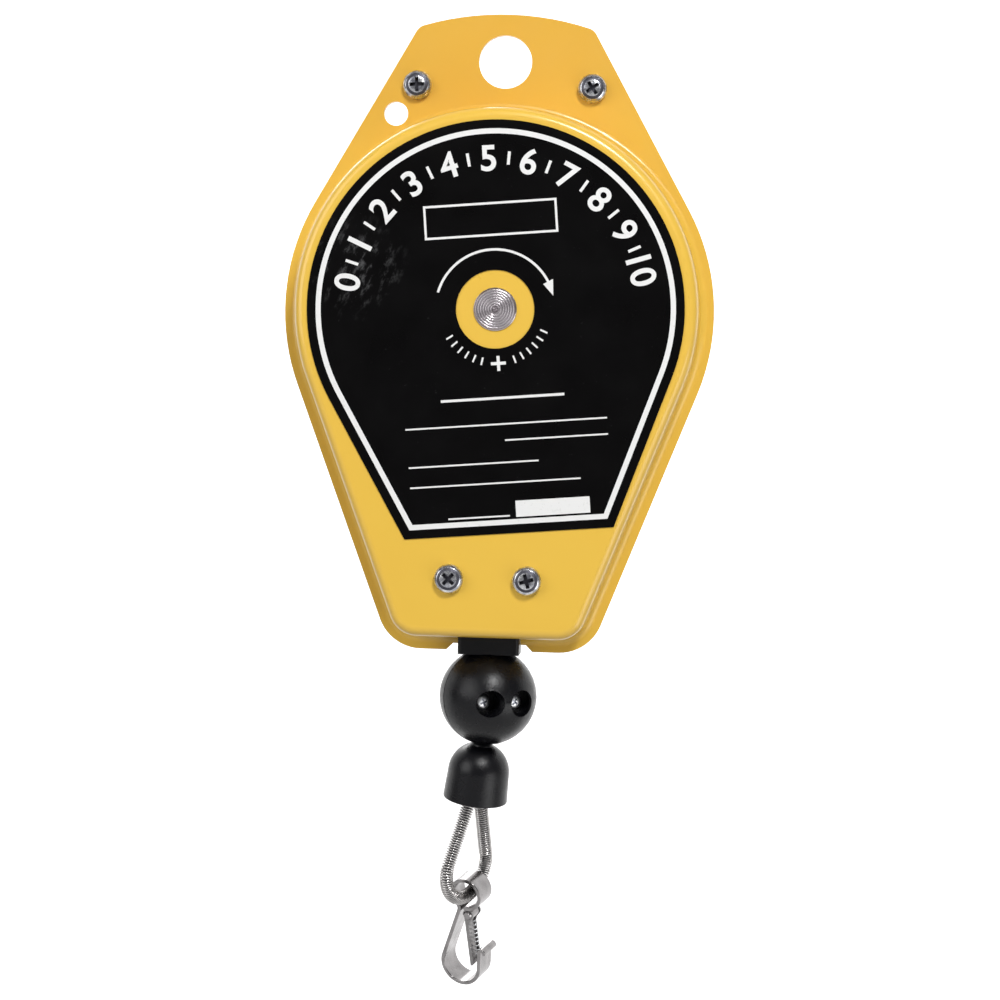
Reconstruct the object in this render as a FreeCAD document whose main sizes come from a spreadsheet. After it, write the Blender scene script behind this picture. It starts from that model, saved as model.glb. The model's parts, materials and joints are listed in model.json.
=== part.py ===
# Spring balancer for hand tools: a flat-eared two-shell housing, a sprung rope drum on a ratcheted
# arbor, and a wire rope that ends in a ball stop, a guarded loop and a snap hook.
# Frame: millimetres, +Z up, the label side faces -Y, the origin is the centre of the hanging hole.

import FreeCAD, Part
import math
import os
import Sketcher
from FreeCAD import Placement, Rotation, Vector

os.makedirs("parts", exist_ok=True)
doc = FreeCAD.newDocument("tool_balancer")
sheet = doc.addObject("Spreadsheet::Sheet", "sizes")

# ---------------------------------------------------------------- driving dimensions

SIZES = (
    # housing outline, measured round the shaft
    ("flange_radius", 67.3, "round part of the outline"),
    ("hole_rise", 10.7, "hanging hole above the round part of the outline"),
    ("taper_angle", 21.0, "lower sides from the vertical"),
    ("ear_angle", 29.4, "ear sides from the vertical"),
    ("bottom_drop", 106.3, "from the shaft down to the bottom edge"),
    ("corner_radius", 14.0, "bottom corners"),
    ("ear_top_rise", 14.8, "top of the ear above the hanging hole"),
    ("ear_top_radius", 89.0, "arc of the ear's top edge"),
    ("ear_corner_radius", 4.0, "ear corners"),
    # pressed shells
    ("sheet_wall", 1.2, "sheet thickness"),
    ("shell_depth", 20.0, "joint plane to the flat face of a shell"),
    ("bulge_inset", 4.3, "flange edge to the foot of the bulge wall"),
    ("wall_draft", 3.0, "draft of the bulge wall, degrees"),
    ("face_radius", 2.9, "rounding of the bulge's face edge"),
    ("foot_radius", 2.4, "rounding where the bulge meets the flange"),
    ("hanging_hole_radius", 8.3, "hanging hole"),
    ("safety_hole_radius", 3.75, "hole for the safety chain"),
    ("safety_hole_side", 33.9, "safety hole left of the middle"),
    ("safety_hole_drop", 16.8, "safety hole below the hanging hole"),
    # screws through the shells
    ("screw_radius", 2.5, "M5 shank"),
    ("screw_play", 0.15, "clearance round a shank"),
    ("screw_head_radius", 4.5, "pan head"),
    ("screw_head_height", 3.2, "pan head"),
    ("nut_flats", 8.0, "M5 nut across flats"),
    ("nut_height", 4.0, "M5 nut"),
    ("screw_tip", 1.5, "shank beyond the nut"),
    ("top_screw_side", 27.4, "top screws from the middle"),
    ("top_screw_drop", 7.8, "top screws below the hanging hole"),
    ("bottom_screw_side", 12.0, "bottom screws from the middle"),
    ("bottom_screw_drop", 83.0, "bottom screws below the shaft"),
    ("spacer_wall", 1.4, "wall of the spacer tubes"),
    # label
    ("label_radius", 58.0, "round part of the label"),
    ("label_angle", 24.7, "lower sides of the label from the vertical"),
    ("label_drop", 68.8, "from the shaft down to the label's bottom edge"),
    ("label_hole_radius", 12.05, "hole round the shaft end"),
    ("label_thickness", 0.3, "label plate"),
    ("label_turn", 5.1, "the label sits turned by this, degrees"),
    # arbor
    ("arbor_end_radius", 6.6, "turned end that shows in front"),
    ("arbor_proud", 0.9, "end of the arbor beyond the front face"),
    ("arbor_radius", 8.0, "journal"),
    ("arbor_tail_radius", 6.0, "stretch through the rear shell"),
    ("collar_radius", 10.0, "collar behind the front shell"),
    ("turning_play", 0.05, "radial clearance of a shaft in its hole"),
    ("end_play", 0.2, "axial clearance of turning parts"),
    ("tail_flats", 4.8, "centre to flat where the ratchet wheel sits"),
    # drum
    ("drum_front", 15.0, "front of the drum, forward of the joint plane"),
    ("drum_rear", 9.0, "rear of the drum, behind the joint plane"),
    ("drum_web", 3.0, "web thickness"),
    ("drum_flange", 1.9, "flange thickness"),
    ("drum_flange_radius", 50.0, "flanges"),
    ("barrel_radius", 42.4, "barrel under the rope"),
    ("chamber_radius", 38.0, "spring chamber"),
    ("hub_radius", 13.5, "hub boss"),
    ("bush_radius", 10.0, "outside of a bush"),
    ("bush_flange_radius", 12.5, "flange of the rear bush"),
    ("bush_flange", 1.2, "thickness of the rear bush's flange"),
    ("bush_length", 6.6, "bush without its flange"),
    ("cover_thickness", 2.0, "drum cover"),
    ("cover_radius", 43.0, "drum cover"),
    ("cover_screw_circle", 40.2, "pitch circle radius of the cover screws"),
    ("cover_screw_radius", 1.25, "cover screws"),
    ("cover_screw_length", 8.0, "cover screws under the head"),
    ("clip_groove", 0.8, "depth of the circlip grooves"),
    ("clip_thickness", 1.0, "circlips"),
    ("clip_width", 2.6, "radial width of the circlips"),
    # rope
    ("rope_radius", 1.25, "wire rope"),
    ("winding_gap", 0.35, "between the barrel and the rope on it"),
    ("lane_gap", 0.15, "between turns of rope"),
    ("wrap_angle", 60.0, "wrap of the leaving turn that is modelled, degrees"),
    ("guide_bend_depth", 6.0, "top of the guide down to the corner of the rope's route"),
    ("guide_bend_radius", 14.0, "rope's bend in the guide"),
    ("rope_join_rise", 9.2, "bottom of the neck up to where the moving rope starts"),
    # rope guide
    ("guide_width", 19.2, "neck, side to side"),
    ("guide_depth", 15.0, "neck, front to back"),
    ("guide_length", 21.2, "guide, top to bottom"),
    ("guide_proud", 0.9, "bottom of the neck below the bottom edge of the shells"),
    ("guide_edge", 1.2, "rounding of the neck's upright edges"),
    ("guide_lip", 2.2, "lip beyond the neck, inside the shells"),
    ("guide_lip_height", 2.4, "lip"),
    ("guide_boss_radius", 7.4, "boss round the bell mouth"),
    ("throat_play", 0.45, "clearance round the rope in the guide's throat"),
    ("bell_radius", 12.0, "curve of the bell mouth"),
    ("seat_play", 0.15, "clearance of a seated piece"),
    ("notch_top", 11.3, "half width of the flange's notch at its top"),
    ("notch_bottom", 14.5, "half width of the flange's notch at its bottom"),
    ("notch_height", 2.2, "height of the flange's notch"),
    # ball stop
    ("ball_radius", 15.3, "ball"),
    ("ball_sink", 1.8, "top of the ball inside the neck"),
    ("ball_edge", 0.35, "rounding at the ball's parting plane"),
    ("ball_turn", 28.0, "the ball's screws face this far to the right, degrees"),
    ("ball_seat_gap", 0.3, "between the ball and its seat"),
    ("ball_screw_side", 5.3, "screws from the rope"),
    ("ball_screw_drop", 1.1, "screws below the ball's centre"),
    ("ball_screw_radius", 1.5, "M3 shank"),
    ("ball_head_radius", 2.6, "screw heads"),
    ("ball_head_height", 2.4, "screw heads"),
    ("counterbore_radius", 4.2, "holes over the screw heads"),
    ("counterbore_floor", 6.0, "parting plane to the floor of the holes"),
    ("ball_nut_flats", 5.5, "M3 nut across flats"),
    ("ball_nut_height", 2.4, "M3 nut"),
    # cap, ferrule and loop, which lean together
    ("end_tilt", 10.4, "lean of what hangs below the ball, degrees"),
    ("end_tilt_turn", 125.7, "direction of the lean, degrees from +X"),
    ("tail_rise", 4.0, "ball centre up to where the moving rope ends"),
    ("cap_gap", 0.6, "between ball and cap"),
    ("cap_length", 17.9, "cap"),
    ("cap_top_radius", 3.6, "flat top of the cap"),
    ("cap_shoulder_radius", 9.7, "top of the skirt"),
    ("cap_shoulder_drop", 8.6, "top of the cap down to the skirt"),
    ("cap_mouth_radius", 10.2, "bottom of the skirt"),
    ("cap_wall", 1.6, "cap"),
    ("cap_ceiling", 4.6, "cap over the ferrule"),
    ("cap_rim", 0.5, "rounding of the cap's rim"),
    ("ferrule_length", 8.4, "ferrule"),
    ("ferrule_wall", 0.9, "ferrule"),
    ("leg_gap", 0.3, "between the two legs in the ferrule"),
    ("spread_drop", 15.0, "ball down to where the legs spread"),
    ("spread_radius", 8.0, "bend where the legs spread"),
    ("guard_play", 0.55, "between the rope and its guard"),
    ("guard_wire", 0.45, "wire of the guard"),
    ("loop_radius", 10.0, "bottom of the loop"),
    ("loop_drop", 41.4, "ball down to the centre of the loop's bottom"),
    ("loop_turn", 56.4, "the loop is turned by this about its length, degrees"),
    # hook
    ("hook_round", 26.0, "the eye lies this far round the loop's bottom, degrees"),
    ("hook_turn", -24.5, "the hook is turned by this about its length, degrees"),
    ("hook_tip", 13.0, "the hook is tipped back by this, degrees"),
    ("hook_lie", 1.0, "the hook has swung by this about its eye, degrees"),
    ("strip_edge", 0.25, "rounding of the strip's edges"),
    ("strip_thickness", 1.2, "hook strip"),
    ("strip_width", 7.6, "hook strip"),
    ("eye_radius", 5.0, "middle of the strip round the eye"),
    ("eye_lift", 0.7, "eye above the middle of the loop's bottom"),
    ("neck_radius", 2.0, "reverse bends at the neck"),
    ("bowl_radius", 6.6, "middle of the strip round the bowl"),
    ("bowl_drop", 26.0, "eye down to the centre of the bowl"),
    ("bowl_side", 1.0, "bowl left of the eye"),
    ("leg_angle", 16.0, "long side of the hook from the vertical"),
    ("nose_rise", 6.4, "nose above the centre of the bowl"),
    ("nose_curl_radius", 0.9, "curl of the nose"),
    ("knuckle_side", 0.6, "gate rivet right of the eye"),
    ("knuckle_wall", 0.7, "wall of the knuckle round the rivet"),
    ("knuckle_width", 3.4, "knuckle"),
    ("rivet_radius", 0.9, "gate rivet"),
    # gate
    ("gate_thickness", 0.7, "gate strip"),
    ("gate_width", 5.2, "gate"),
    ("gate_length", 17.3, "rivet to the gate's foot"),
    ("gate_inside", 2.0, "rivet to the back of the gate's web"),
    ("gate_outside", 1.2, "rivet to the free edge of the gate's cheeks"),
    ("gate_nose_radius", 1.9, "cheeks round the rivet"),
    ("gate_gap", 0.4, "between the gate's foot and the nose"),
    ("gate_spring_radius", 0.95, "gate spring"),
    # ratchet and pawl
    ("ratchet_teeth", 12.0, "teeth"),
    ("ratchet_radius", 20.0, "tips"),
    ("ratchet_root", 16.8, "roots"),
    ("ratchet_thickness", 3.0, "ratchet wheel"),
    ("hexagon_flats", 17.0, "hexagon on the ratchet wheel"),
    ("hexagon_height", 5.0, "hexagon on the ratchet wheel"),
    ("plate_gap", 0.3, "between flat pieces that turn past each other"),
    ("pawl_side", 20.0, "pawl pivot left of the shaft"),
    ("pawl_rise", 20.5, "pawl pivot above the shaft"),
    ("pawl_pin_radius", 2.5, "pawl pin"),
    ("pawl_boss_radius", 4.6, "pawl round its pin"),
    ("tooth_gap", 0.2, "between the pawl's nose and the tooth"),
    ("pin_head_radius", 4.4, "heads of the pawl pin"),
    ("pin_head", 1.2, "heads of the pawl pin"),
    ("pawl_coil", 2.2, "height of the pawl spring's coil"),
    ("pawl_wire", 0.5, "radius of the pawl spring's wire"),
    # mainspring
    ("spring_strip", 0.5, "mainspring thickness"),
    ("spring_turns", 9.0, "turns that are modelled"),
    ("post_radius", 2.0, "pin that holds the spring's outer end"),
)


class Size:
    """A number and the expression that ties it to the sheet."""

    def __init__(self, value, text):
        self.value = value
        self.text = text

    def __add__(self, other):
        other = as_size(other)
        return Size(self.value + other.value, f"({self.text} + {other.text})")

    def __sub__(self, other):
        other = as_size(other)
        return Size(self.value - other.value, f"({self.text} - {other.text})")

    def __mul__(self, other):
        other = as_size(other)
        return Size(self.value * other.value, f"({self.text} * {other.text})")

    def __truediv__(self, other):
        other = as_size(other)
        return Size(self.value / other.value, f"({self.text} / {other.text})")

    def __neg__(self):
        return Size(-self.value, f"(0 - {self.text})")

    def __radd__(self, other):
        return as_size(other) + self

    def __rsub__(self, other):
        return as_size(other) - self

    def __rmul__(self, other):
        return as_size(other) * self


def as_size(number):
    if isinstance(number, Size):
        return number
    return Size(float(number), f"({number})")


def cosine(angle):
    return Size(math.cos(math.radians(angle.value)), f"cos({angle.text})")


def sine(angle):
    return Size(math.sin(math.radians(angle.value)), f"sin({angle.text})")


def tangent(angle):
    return Size(math.tan(math.radians(angle.value)), f"tan({angle.text})")


def root(number):
    return Size(math.sqrt(number.value), f"sqrt({number.text})")


class Sizes:
    """The sheet's named sizes as attributes."""


s = Sizes()
for row, (name, number, note) in enumerate(SIZES, start=1):
    sheet.set(f"A{row}", name)
    sheet.set(f"B{row}", str(number))
    sheet.set(f"C{row}", note)
    sheet.setAlias(f"B{row}", name)
    setattr(s, name, Size(number, f"sizes.{name}"))
doc.recompute()

# places and sizes that are tied to those in the table
s.shaft_drop = s.flange_radius + s.hole_rise
s.guide_bottom_drop = s.shaft_drop + s.bottom_drop + s.guide_proud
s.guide_top_drop = s.guide_bottom_drop - s.guide_length
s.rope_join_drop = s.guide_bottom_drop - s.rope_join_rise
s.ball_drop = s.guide_bottom_drop + s.ball_radius - s.ball_sink
s.throat_radius = s.rope_radius + s.throat_play
s.lane_pitch = s.rope_radius * 2 + s.lane_gap
s.winding_radius = s.barrel_radius + s.winding_gap + s.rope_radius
s.leg_side = s.rope_radius + s.leg_gap / 2
s.guard_bore = s.rope_radius + s.guard_play
s.guard_radius = s.guard_bore + s.guard_wire

# ---------------------------------------------------------------- drawing helpers

MADE = []  # every object that is written out


def new_body(label, y=None, z=None, x=None):
    """A PartDesign body whose place is bound to the sheet."""
    body = doc.addObject("PartDesign::Body", label)
    body.Label = label
    for axis, place in (("x", x), ("y", y), ("z", z)):
        if place is not None:
            body.setExpression(f".Placement.Base.{axis}", as_size(place).text)
    MADE.append(body)
    return body


def origin_plane(body, role):
    return next(part for part in body.Origin.OriginFeatures if part.Role == role)


def new_sketch(body, role="XZ_Plane", offset=None, side=None):
    """A sketch on one of the body's own planes, moved along its normal and sideways."""
    sketch = body.newObject("Sketcher::SketchObject", f"{body.Name}_sketch")
    sketch.AttachmentSupport = [(origin_plane(body, role), "")]
    sketch.MapMode = "FlatFace"
    if offset is not None:
        sketch.setExpression(".AttachmentOffset.Base.z", as_size(offset).text)
    if side is not None:
        sketch.setExpression(".AttachmentOffset.Base.x", as_size(side).text)
    return sketch


def bind(sketch, kind, *place, size):
    """Adds a dimension and ties it to the sheet."""
    number = sketch.addConstraint(Sketcher.Constraint(kind, *place, size.value))
    sketch.setExpression(f"Constraints[{number}]", size.text)


def draw(sketch, points):
    """Draws a closed outline. A point is (x, y), or (x, y, radius, side) where an arc ends there."""
    corners = [Vector(as_size(p[0]).value, as_size(p[1]).value, 0) for p in points]
    first = sketch.GeometryCount
    shapes, ends = [], []
    for i, point in enumerate(points):
        a, b = corners[i - 1], corners[i]
        if len(point) == 2:
            shapes.append(Part.LineSegment(a, b))
            ends.append((1, 2))
            continue
        radius, side = point[2].value, point[3]
        chord = b - a
        normal = Vector(-chord.y, chord.x, 0)
        normal.normalize()
        rise = math.sqrt(radius**2 - (chord.Length / 2) ** 2)
        centre = (a + b) * 0.5 + normal * (side * rise)
        top = centre - normal * (side * radius)
        shapes.append(Part.Arc(a, top, b))
        ends.append((1, 2) if side > 0 else (2, 1))
    sketch.addGeometry(shapes, False)
    joins = []
    for i in range(len(points)):
        following = (i + 1) % len(points)
        joins.append(
            Sketcher.Constraint("Coincident", first + i, ends[i][1], first + following, ends[following][0])
        )
    sketch.addConstraint(joins)
    for i, point in enumerate(points):
        place = (first + i, ends[i][1])
        bind(sketch, "DistanceX", *place, size=as_size(point[0]))
        bind(sketch, "DistanceY", *place, size=as_size(point[1]))
        if len(point) == 4:
            bind(sketch, "Radius", first + i, size=point[2])


def circle(sketch, x, y, radius):
    x, y = as_size(x), as_size(y)
    number = sketch.addGeometry(Part.Circle(Vector(x.value, y.value, 0), Vector(0, 0, 1), radius.value))
    bind(sketch, "Radius", number, size=radius)
    bind(sketch, "DistanceX", number, 3, size=x)
    bind(sketch, "DistanceY", number, 3, size=y)


def rectangle(sketch, x0, y0, x1, y1):
    draw(sketch, [(x0, y0), (x1, y0), (x1, y1), (x0, y1)])


def hexagon(sketch, flats, x=0, y=0):
    reach = flats / root(as_size(3))
    points = []
    for corner in range(6):
        angle = as_size(60 * corner + 30)
        points.append((x + reach * cosine(angle), y + reach * sine(angle)))
    draw(sketch, points)


def pad(sketch, length, rearwards=False, draft=None):
    """Adds a prism, along the plane's normal: -Y on the XZ plane, or +Y when rearwards."""
    body = sketch.getParentGeoFeatureGroup()
    feature = body.newObject("PartDesign::Pad", f"{body.Name}_pad")
    feature.Profile = sketch
    feature.Reversed = rearwards
    feature.setExpression("Length", as_size(length).text)
    if draft is not None:
        feature.setExpression("TaperAngle", (-draft).text)
    body.Tip = feature
    return feature


def pocket(sketch, length=None, rearwards=True, draft=None):
    """Cuts a prism towards +Y, or -Y when not rearwards, or both ways right through without a length."""
    body = sketch.getParentGeoFeatureGroup()
    doc.recompute()
    before = body.Shape.Volume
    feature = body.newObject("PartDesign::Pocket", f"{body.Name}_pocket")
    feature.Profile = sketch
    feature.Reversed = not rearwards
    if length is None:
        feature.Type = "ThroughAll"
        feature.SideType = "Symmetric"
    else:
        feature.setExpression("Length", as_size(length).text)
    if draft is not None:
        feature.setExpression("TaperAngle", (-draft).text)
    body.Tip = feature
    doc.recompute()
    if body.Shape.Volume > before - 1e-3:
        raise RuntimeError(f"a pocket of {body.Label} cuts nothing")
    return feature


def revolve(sketch, axis="V_Axis"):
    body = sketch.getParentGeoFeatureGroup()
    feature = body.newObject("PartDesign::Revolution", f"{body.Name}_revolution")
    feature.Profile = sketch
    feature.ReferenceAxis = (sketch, [axis])
    feature.Angle = 360
    body.Tip = feature
    return feature


def groove(sketch, axis="V_Axis"):
    body = sketch.getParentGeoFeatureGroup()
    doc.recompute()
    before = body.Shape.Volume
    feature = body.newObject("PartDesign::Groove", f"{body.Name}_groove")
    feature.Profile = sketch
    feature.ReferenceAxis = (sketch, [axis])
    feature.Angle = 360
    body.Tip = feature
    doc.recompute()
    if body.Shape.Volume > before - 1e-3:
        raise RuntimeError(f"a groove of {body.Label} cuts nothing")
    return feature


def mirror(body, features, role="YZ_Plane"):
    """Repeats features on the other side of one of the body's planes."""
    copy = body.newObject("PartDesign::Mirrored", f"{body.Name}_mirror")
    copy.Originals = features
    copy.MirrorPlane = (origin_plane(body, role), [""])
    body.Tip = copy
    return copy


def round_about(body, feature, count, role="Y_Axis"):
    """Repeats a feature round one of the body's axes."""
    ring = body.newObject("PartDesign::PolarPattern", f"{body.Name}_ring")
    ring.Originals = [feature]
    ring.Axis = (origin_plane(body, role), [""])
    ring.Angle = 360
    ring.setExpression("Occurrences", as_size(count).text)
    body.Tip = ring
    return ring


def fillet(body, radius, test):
    """Rounds the edges of the body that pass the test."""
    doc.recompute()
    base = body.Tip
    names = [f"Edge{i}" for i, edge in enumerate(base.Shape.Edges, start=1) if test(edge)]
    if not names:
        raise RuntimeError(f"no edge to round on {body.Label}")
    feature = body.newObject("PartDesign::Fillet", f"{body.Name}_fillet")
    feature.Base = (base, names)
    feature.setExpression("Radius", as_size(radius).text)
    body.Tip = feature
    doc.recompute()
    return feature


def lies_at(axis, place, reach=0.02):
    """A test for edges that lie flat at one place along an axis."""

    def test(edge):
        box = edge.BoundBox
        low, high = (box.YMin, box.YMax) if axis == "y" else (box.ZMin, box.ZMax)
        return abs(low - place) < reach and abs(high - place) < reach

    return test


def new_feature(label, shape, placement=None):
    """A plain feature for a form that neither features nor primitives fit."""
    part = doc.addObject("Part::Feature", label)
    part.Label = label
    part.Shape = shape
    if placement is not None:
        part.Placement = placement
    MADE.append(part)
    return part


# ---------------------------------------------------------------- sizes that follow from others

inner_face = s.shell_depth - s.sheet_wall
bulge_bottom = s.bottom_drop - s.bulge_inset
shank_hole = s.screw_radius + s.screw_play
spacer_bore = s.screw_radius + s.screw_play
spacer_radius = spacer_bore + s.spacer_wall
collar_front = -(inner_face - s.end_play)
collar_rear = -(s.drum_front + s.end_play)
cover_rear = s.drum_rear + s.cover_thickness
bush_rear = cover_rear + s.bush_flange
clip_front = bush_rear + s.end_play
clip_rear = clip_front + s.clip_thickness
shoulder = clip_rear + 1.6
wheel_front = s.shell_depth + s.plate_gap
wheel_rear = wheel_front + s.ratchet_thickness
boss_rear = wheel_rear + s.hexagon_height
spring_front = -(s.drum_front - s.bush_length - s.plate_gap)
spring_rear = s.drum_rear - s.plate_gap
lane_edge = s.drum_flange + s.plate_gap + s.rope_radius
first_lane = -(s.drum_front - lane_edge)
last_lane = s.drum_rear - lane_edge
rope_bore = s.rope_radius + s.turning_play
seat_radius = s.ball_radius + s.ball_seat_gap


def end_place(drop=0.0, turn=0.0):
    """A place in the leaning frame of the cap, the loop and the hook, whose top is under the ball."""
    lean = math.radians(s.end_tilt_turn.value)
    axis = Vector(math.sin(lean), -math.cos(lean), 0)
    frame = Placement(Vector(0, 0, -s.ball_drop.value), Rotation(axis, s.end_tilt.value))
    return frame * Placement(Vector(0, 0, -s.ball_radius.value - drop), Rotation(Vector(0, 0, 1), turn))


# ---------------------------------------------------------------- housing


def lower_sides(radius, bottom, corner):
    """Half of the lower outline: end of the bottom edge, end of the corner, end of the round part."""
    angle = s.taper_angle
    centre_z = corner - bottom
    centre_x = (radius - corner + centre_z * sine(angle)) / cosine(angle)
    return (
        (centre_x, -bottom),
        (centre_x + corner * cosine(angle), centre_z - corner * sine(angle)),
        (radius * cosine(angle), -(radius * sine(angle))),
    )


def draw_flange(sketch):
    corner, side, waist = lower_sides(s.flange_radius, s.bottom_drop, s.corner_radius)
    angle = s.ear_angle
    neck = (s.flange_radius * cosine(angle), s.flange_radius * sine(angle))
    arc_centre = s.shaft_drop + s.ear_top_rise - s.ear_top_radius
    reach = s.flange_radius - arc_centre * sine(angle)
    along = root(s.ear_top_radius * s.ear_top_radius - reach * reach)
    ear = (
        reach * cosine(angle) - along * sine(angle),
        arc_centre + reach * sine(angle) + along * cosine(angle),
    )
    draw(
        sketch,
        [
            corner,
            (*side, s.corner_radius, 1),
            waist,
            (*neck, s.flange_radius, 1),
            ear,
            (-ear[0], ear[1], s.ear_top_radius, 1),
            (-neck[0], neck[1]),
            (-waist[0], waist[1], s.flange_radius, 1),
            (-side[0], side[1]),
            (-corner[0], corner[1], s.corner_radius, 1),
        ],
    )


def draw_bulge(sketch, inset):
    """The outline of the raised part, drawn in from the flange's edge."""
    radius = s.flange_radius - inset
    rounding = s.corner_radius - inset
    corner, side, waist = lower_sides(radius, s.bottom_drop - inset, rounding)
    draw(
        sketch,
        [
            corner,
            (*side, rounding, 1),
            waist,
            (0, radius, radius, 1),
            (-waist[0], waist[1], radius, 1),
            (-side[0], side[1]),
            (-corner[0], corner[1], rounding, 1),
        ],
    )


def depth_inside(point):
    """How far a point of the joint plane lies inside the flange's edge, below the ear."""
    angle = math.radians(s.taper_angle.value)
    side = math.hypot(point.x, point.z)
    if point.z < -s.flange_radius.value * math.sin(angle):
        side = abs(point.x) * math.cos(angle) - point.z * math.sin(angle)
    bottom = s.flange_radius.value - point.z - s.bottom_drop.value
    return s.flange_radius.value - max(side, bottom)


def shell(label, front):
    """One pressed shell: a drafted bulge with rounded edges, hollowed, on a flat flange."""
    body = new_body(label, z=-s.shaft_drop)
    rear = not front
    way = -1 if front else 1
    bulge = new_sketch(body)
    draw_bulge(bulge, s.bulge_inset)
    pad(bulge, s.shell_depth, rear, s.wall_draft)
    fillet(body, s.face_radius, lies_at("y", way * s.shell_depth.value))
    flange = new_sketch(body)
    draw_flange(flange)
    pad(flange, s.sheet_wall, rear)
    ear = s.shaft_drop.value

    def ear_corner(edge):
        box = edge.BoundBox
        return box.ZMin > ear and abs(box.YLength - s.sheet_wall.value) < 0.01 and box.XLength < 0.01

    fillet(body, s.ear_corner_radius, ear_corner)
    level = lies_at("y", way * s.sheet_wall.value)

    def foot(edge):
        middle = edge.valueAt((edge.FirstParameter + edge.LastParameter) / 2)
        return level(edge) and depth_inside(middle) > s.bulge_inset.value * 0.8

    fillet(body, s.foot_radius, foot)
    cavity = new_sketch(body)
    draw_bulge(cavity, s.bulge_inset + s.sheet_wall)
    pocket(cavity, inner_face, rear, s.wall_draft)
    fillet(body, s.face_radius - s.sheet_wall, lies_at("y", way * inner_face.value))
    holes = new_sketch(body)
    circle(holes, 0, s.shaft_drop, s.hanging_hole_radius)
    circle(holes, -s.safety_hole_side, s.shaft_drop - s.safety_hole_drop, s.safety_hole_radius)
    for side in (-1, 1):
        circle(holes, side * s.top_screw_side, s.shaft_drop - s.top_screw_drop, shank_hole)
        circle(holes, side * s.bottom_screw_side, -s.bottom_screw_drop, shank_hole)
    journal = s.arbor_end_radius if front else s.arbor_tail_radius
    circle(holes, 0, 0, journal + s.turning_play)
    if rear:
        circle(holes, -s.pawl_side, s.pawl_rise, s.pawl_pin_radius)
    pocket(holes)
    slot = new_sketch(body)
    half = s.guide_width / 2 + s.seat_play
    rectangle(slot, -half, -(s.bottom_drop + 1), half, 3 - bulge_bottom + s.sheet_wall)
    pocket(slot, s.guide_depth / 2 + s.seat_play, rear)
    notch = new_sketch(body)
    low, top = -(s.bottom_drop + 1), s.notch_height - s.bottom_drop
    draw(notch, [(-s.notch_bottom, low), (s.notch_bottom, low), (s.notch_top, top), (-s.notch_top, top)])
    pocket(notch, s.sheet_wall, rear)
    return body


def label_plate():
    """The name plate's blank: round above, tapered below, with a hole round the shaft end."""
    body = new_body("label_plate", z=-s.shaft_drop)
    body.Placement = Placement(Vector(0, 0, -s.shaft_drop.value), Rotation(Vector(0, -1, 0), 5))
    body.setExpression(".Placement.Rotation.Angle", s.label_turn.text)
    sketch = new_sketch(body, offset=s.shell_depth)
    angle = s.label_angle
    low = (s.label_radius - s.label_drop * sine(angle)) / cosine(angle)
    waist = (s.label_radius * cosine(angle), -(s.label_radius * sine(angle)))
    draw(
        sketch,
        [
            (low, -s.label_drop),
            waist,
            (0, s.label_radius, s.label_radius, 1),
            (-waist[0], waist[1], s.label_radius, 1),
            (-low, -s.label_drop),
        ],
    )
    circle(sketch, 0, 0, s.label_hole_radius)
    pad(sketch, s.label_thickness)


def pan_screw(body, x, z, seat, tip, shank, head, height):
    """A pan head screw along Y with a cross recess. Returns its features."""
    sketch = new_sketch(body, "XY_Plane", z, x)
    crown = height * 0.5
    draw(
        sketch,
        [
            (0, seat - height),
            (head - crown, seat - height),
            (head, seat - height + crown, crown, 1),
            (head, seat),
            (shank, seat),
            (shank, tip),
            (0, tip),
        ],
    )
    turned = revolve(sketch)
    recess = new_sketch(body, offset=height - seat)
    arm, half = head * 0.5, head * 0.11
    x, z = as_size(x), as_size(z)
    cross = [(half, half), (half, arm), (-half, arm), (-half, half), (-arm, half), (-arm, -half)]
    cross += [(-half, -half), (-half, -arm), (half, -arm), (half, -half), (arm, -half), (arm, half)]
    draw(recess, [(x + across, z + up) for across, up in cross])
    return [turned, pocket(recess, height * 0.55)]


def mirrored_screws(label, side, drop, seat, nut_seat):
    """A pair of screws, right and left of the middle."""
    body = new_body(label)
    tip = nut_seat + s.nut_height + s.screw_tip
    head = (s.screw_head_radius, s.screw_head_height)
    mirror(body, pan_screw(body, side, -drop, seat, tip, s.screw_radius, *head))


def hex_nuts(label, side, drop, seat):
    body = new_body(label)
    sketch = new_sketch(body, offset=-seat)
    hexagon(sketch, s.nut_flats, side, -drop)
    circle(sketch, side, -drop, s.screw_radius + s.turning_play)
    mirror(body, [pad(sketch, s.nut_height, True)])


def spacer_tubes():
    body = new_body("spacer_tubes")
    sketch = new_sketch(body, offset=inner_face)
    drop = -(s.shaft_drop + s.bottom_screw_drop)
    circle(sketch, s.bottom_screw_side, drop, spacer_radius)
    circle(sketch, s.bottom_screw_side, drop, spacer_bore)
    mirror(body, [pad(sketch, inner_face * 2, True)])


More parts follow.
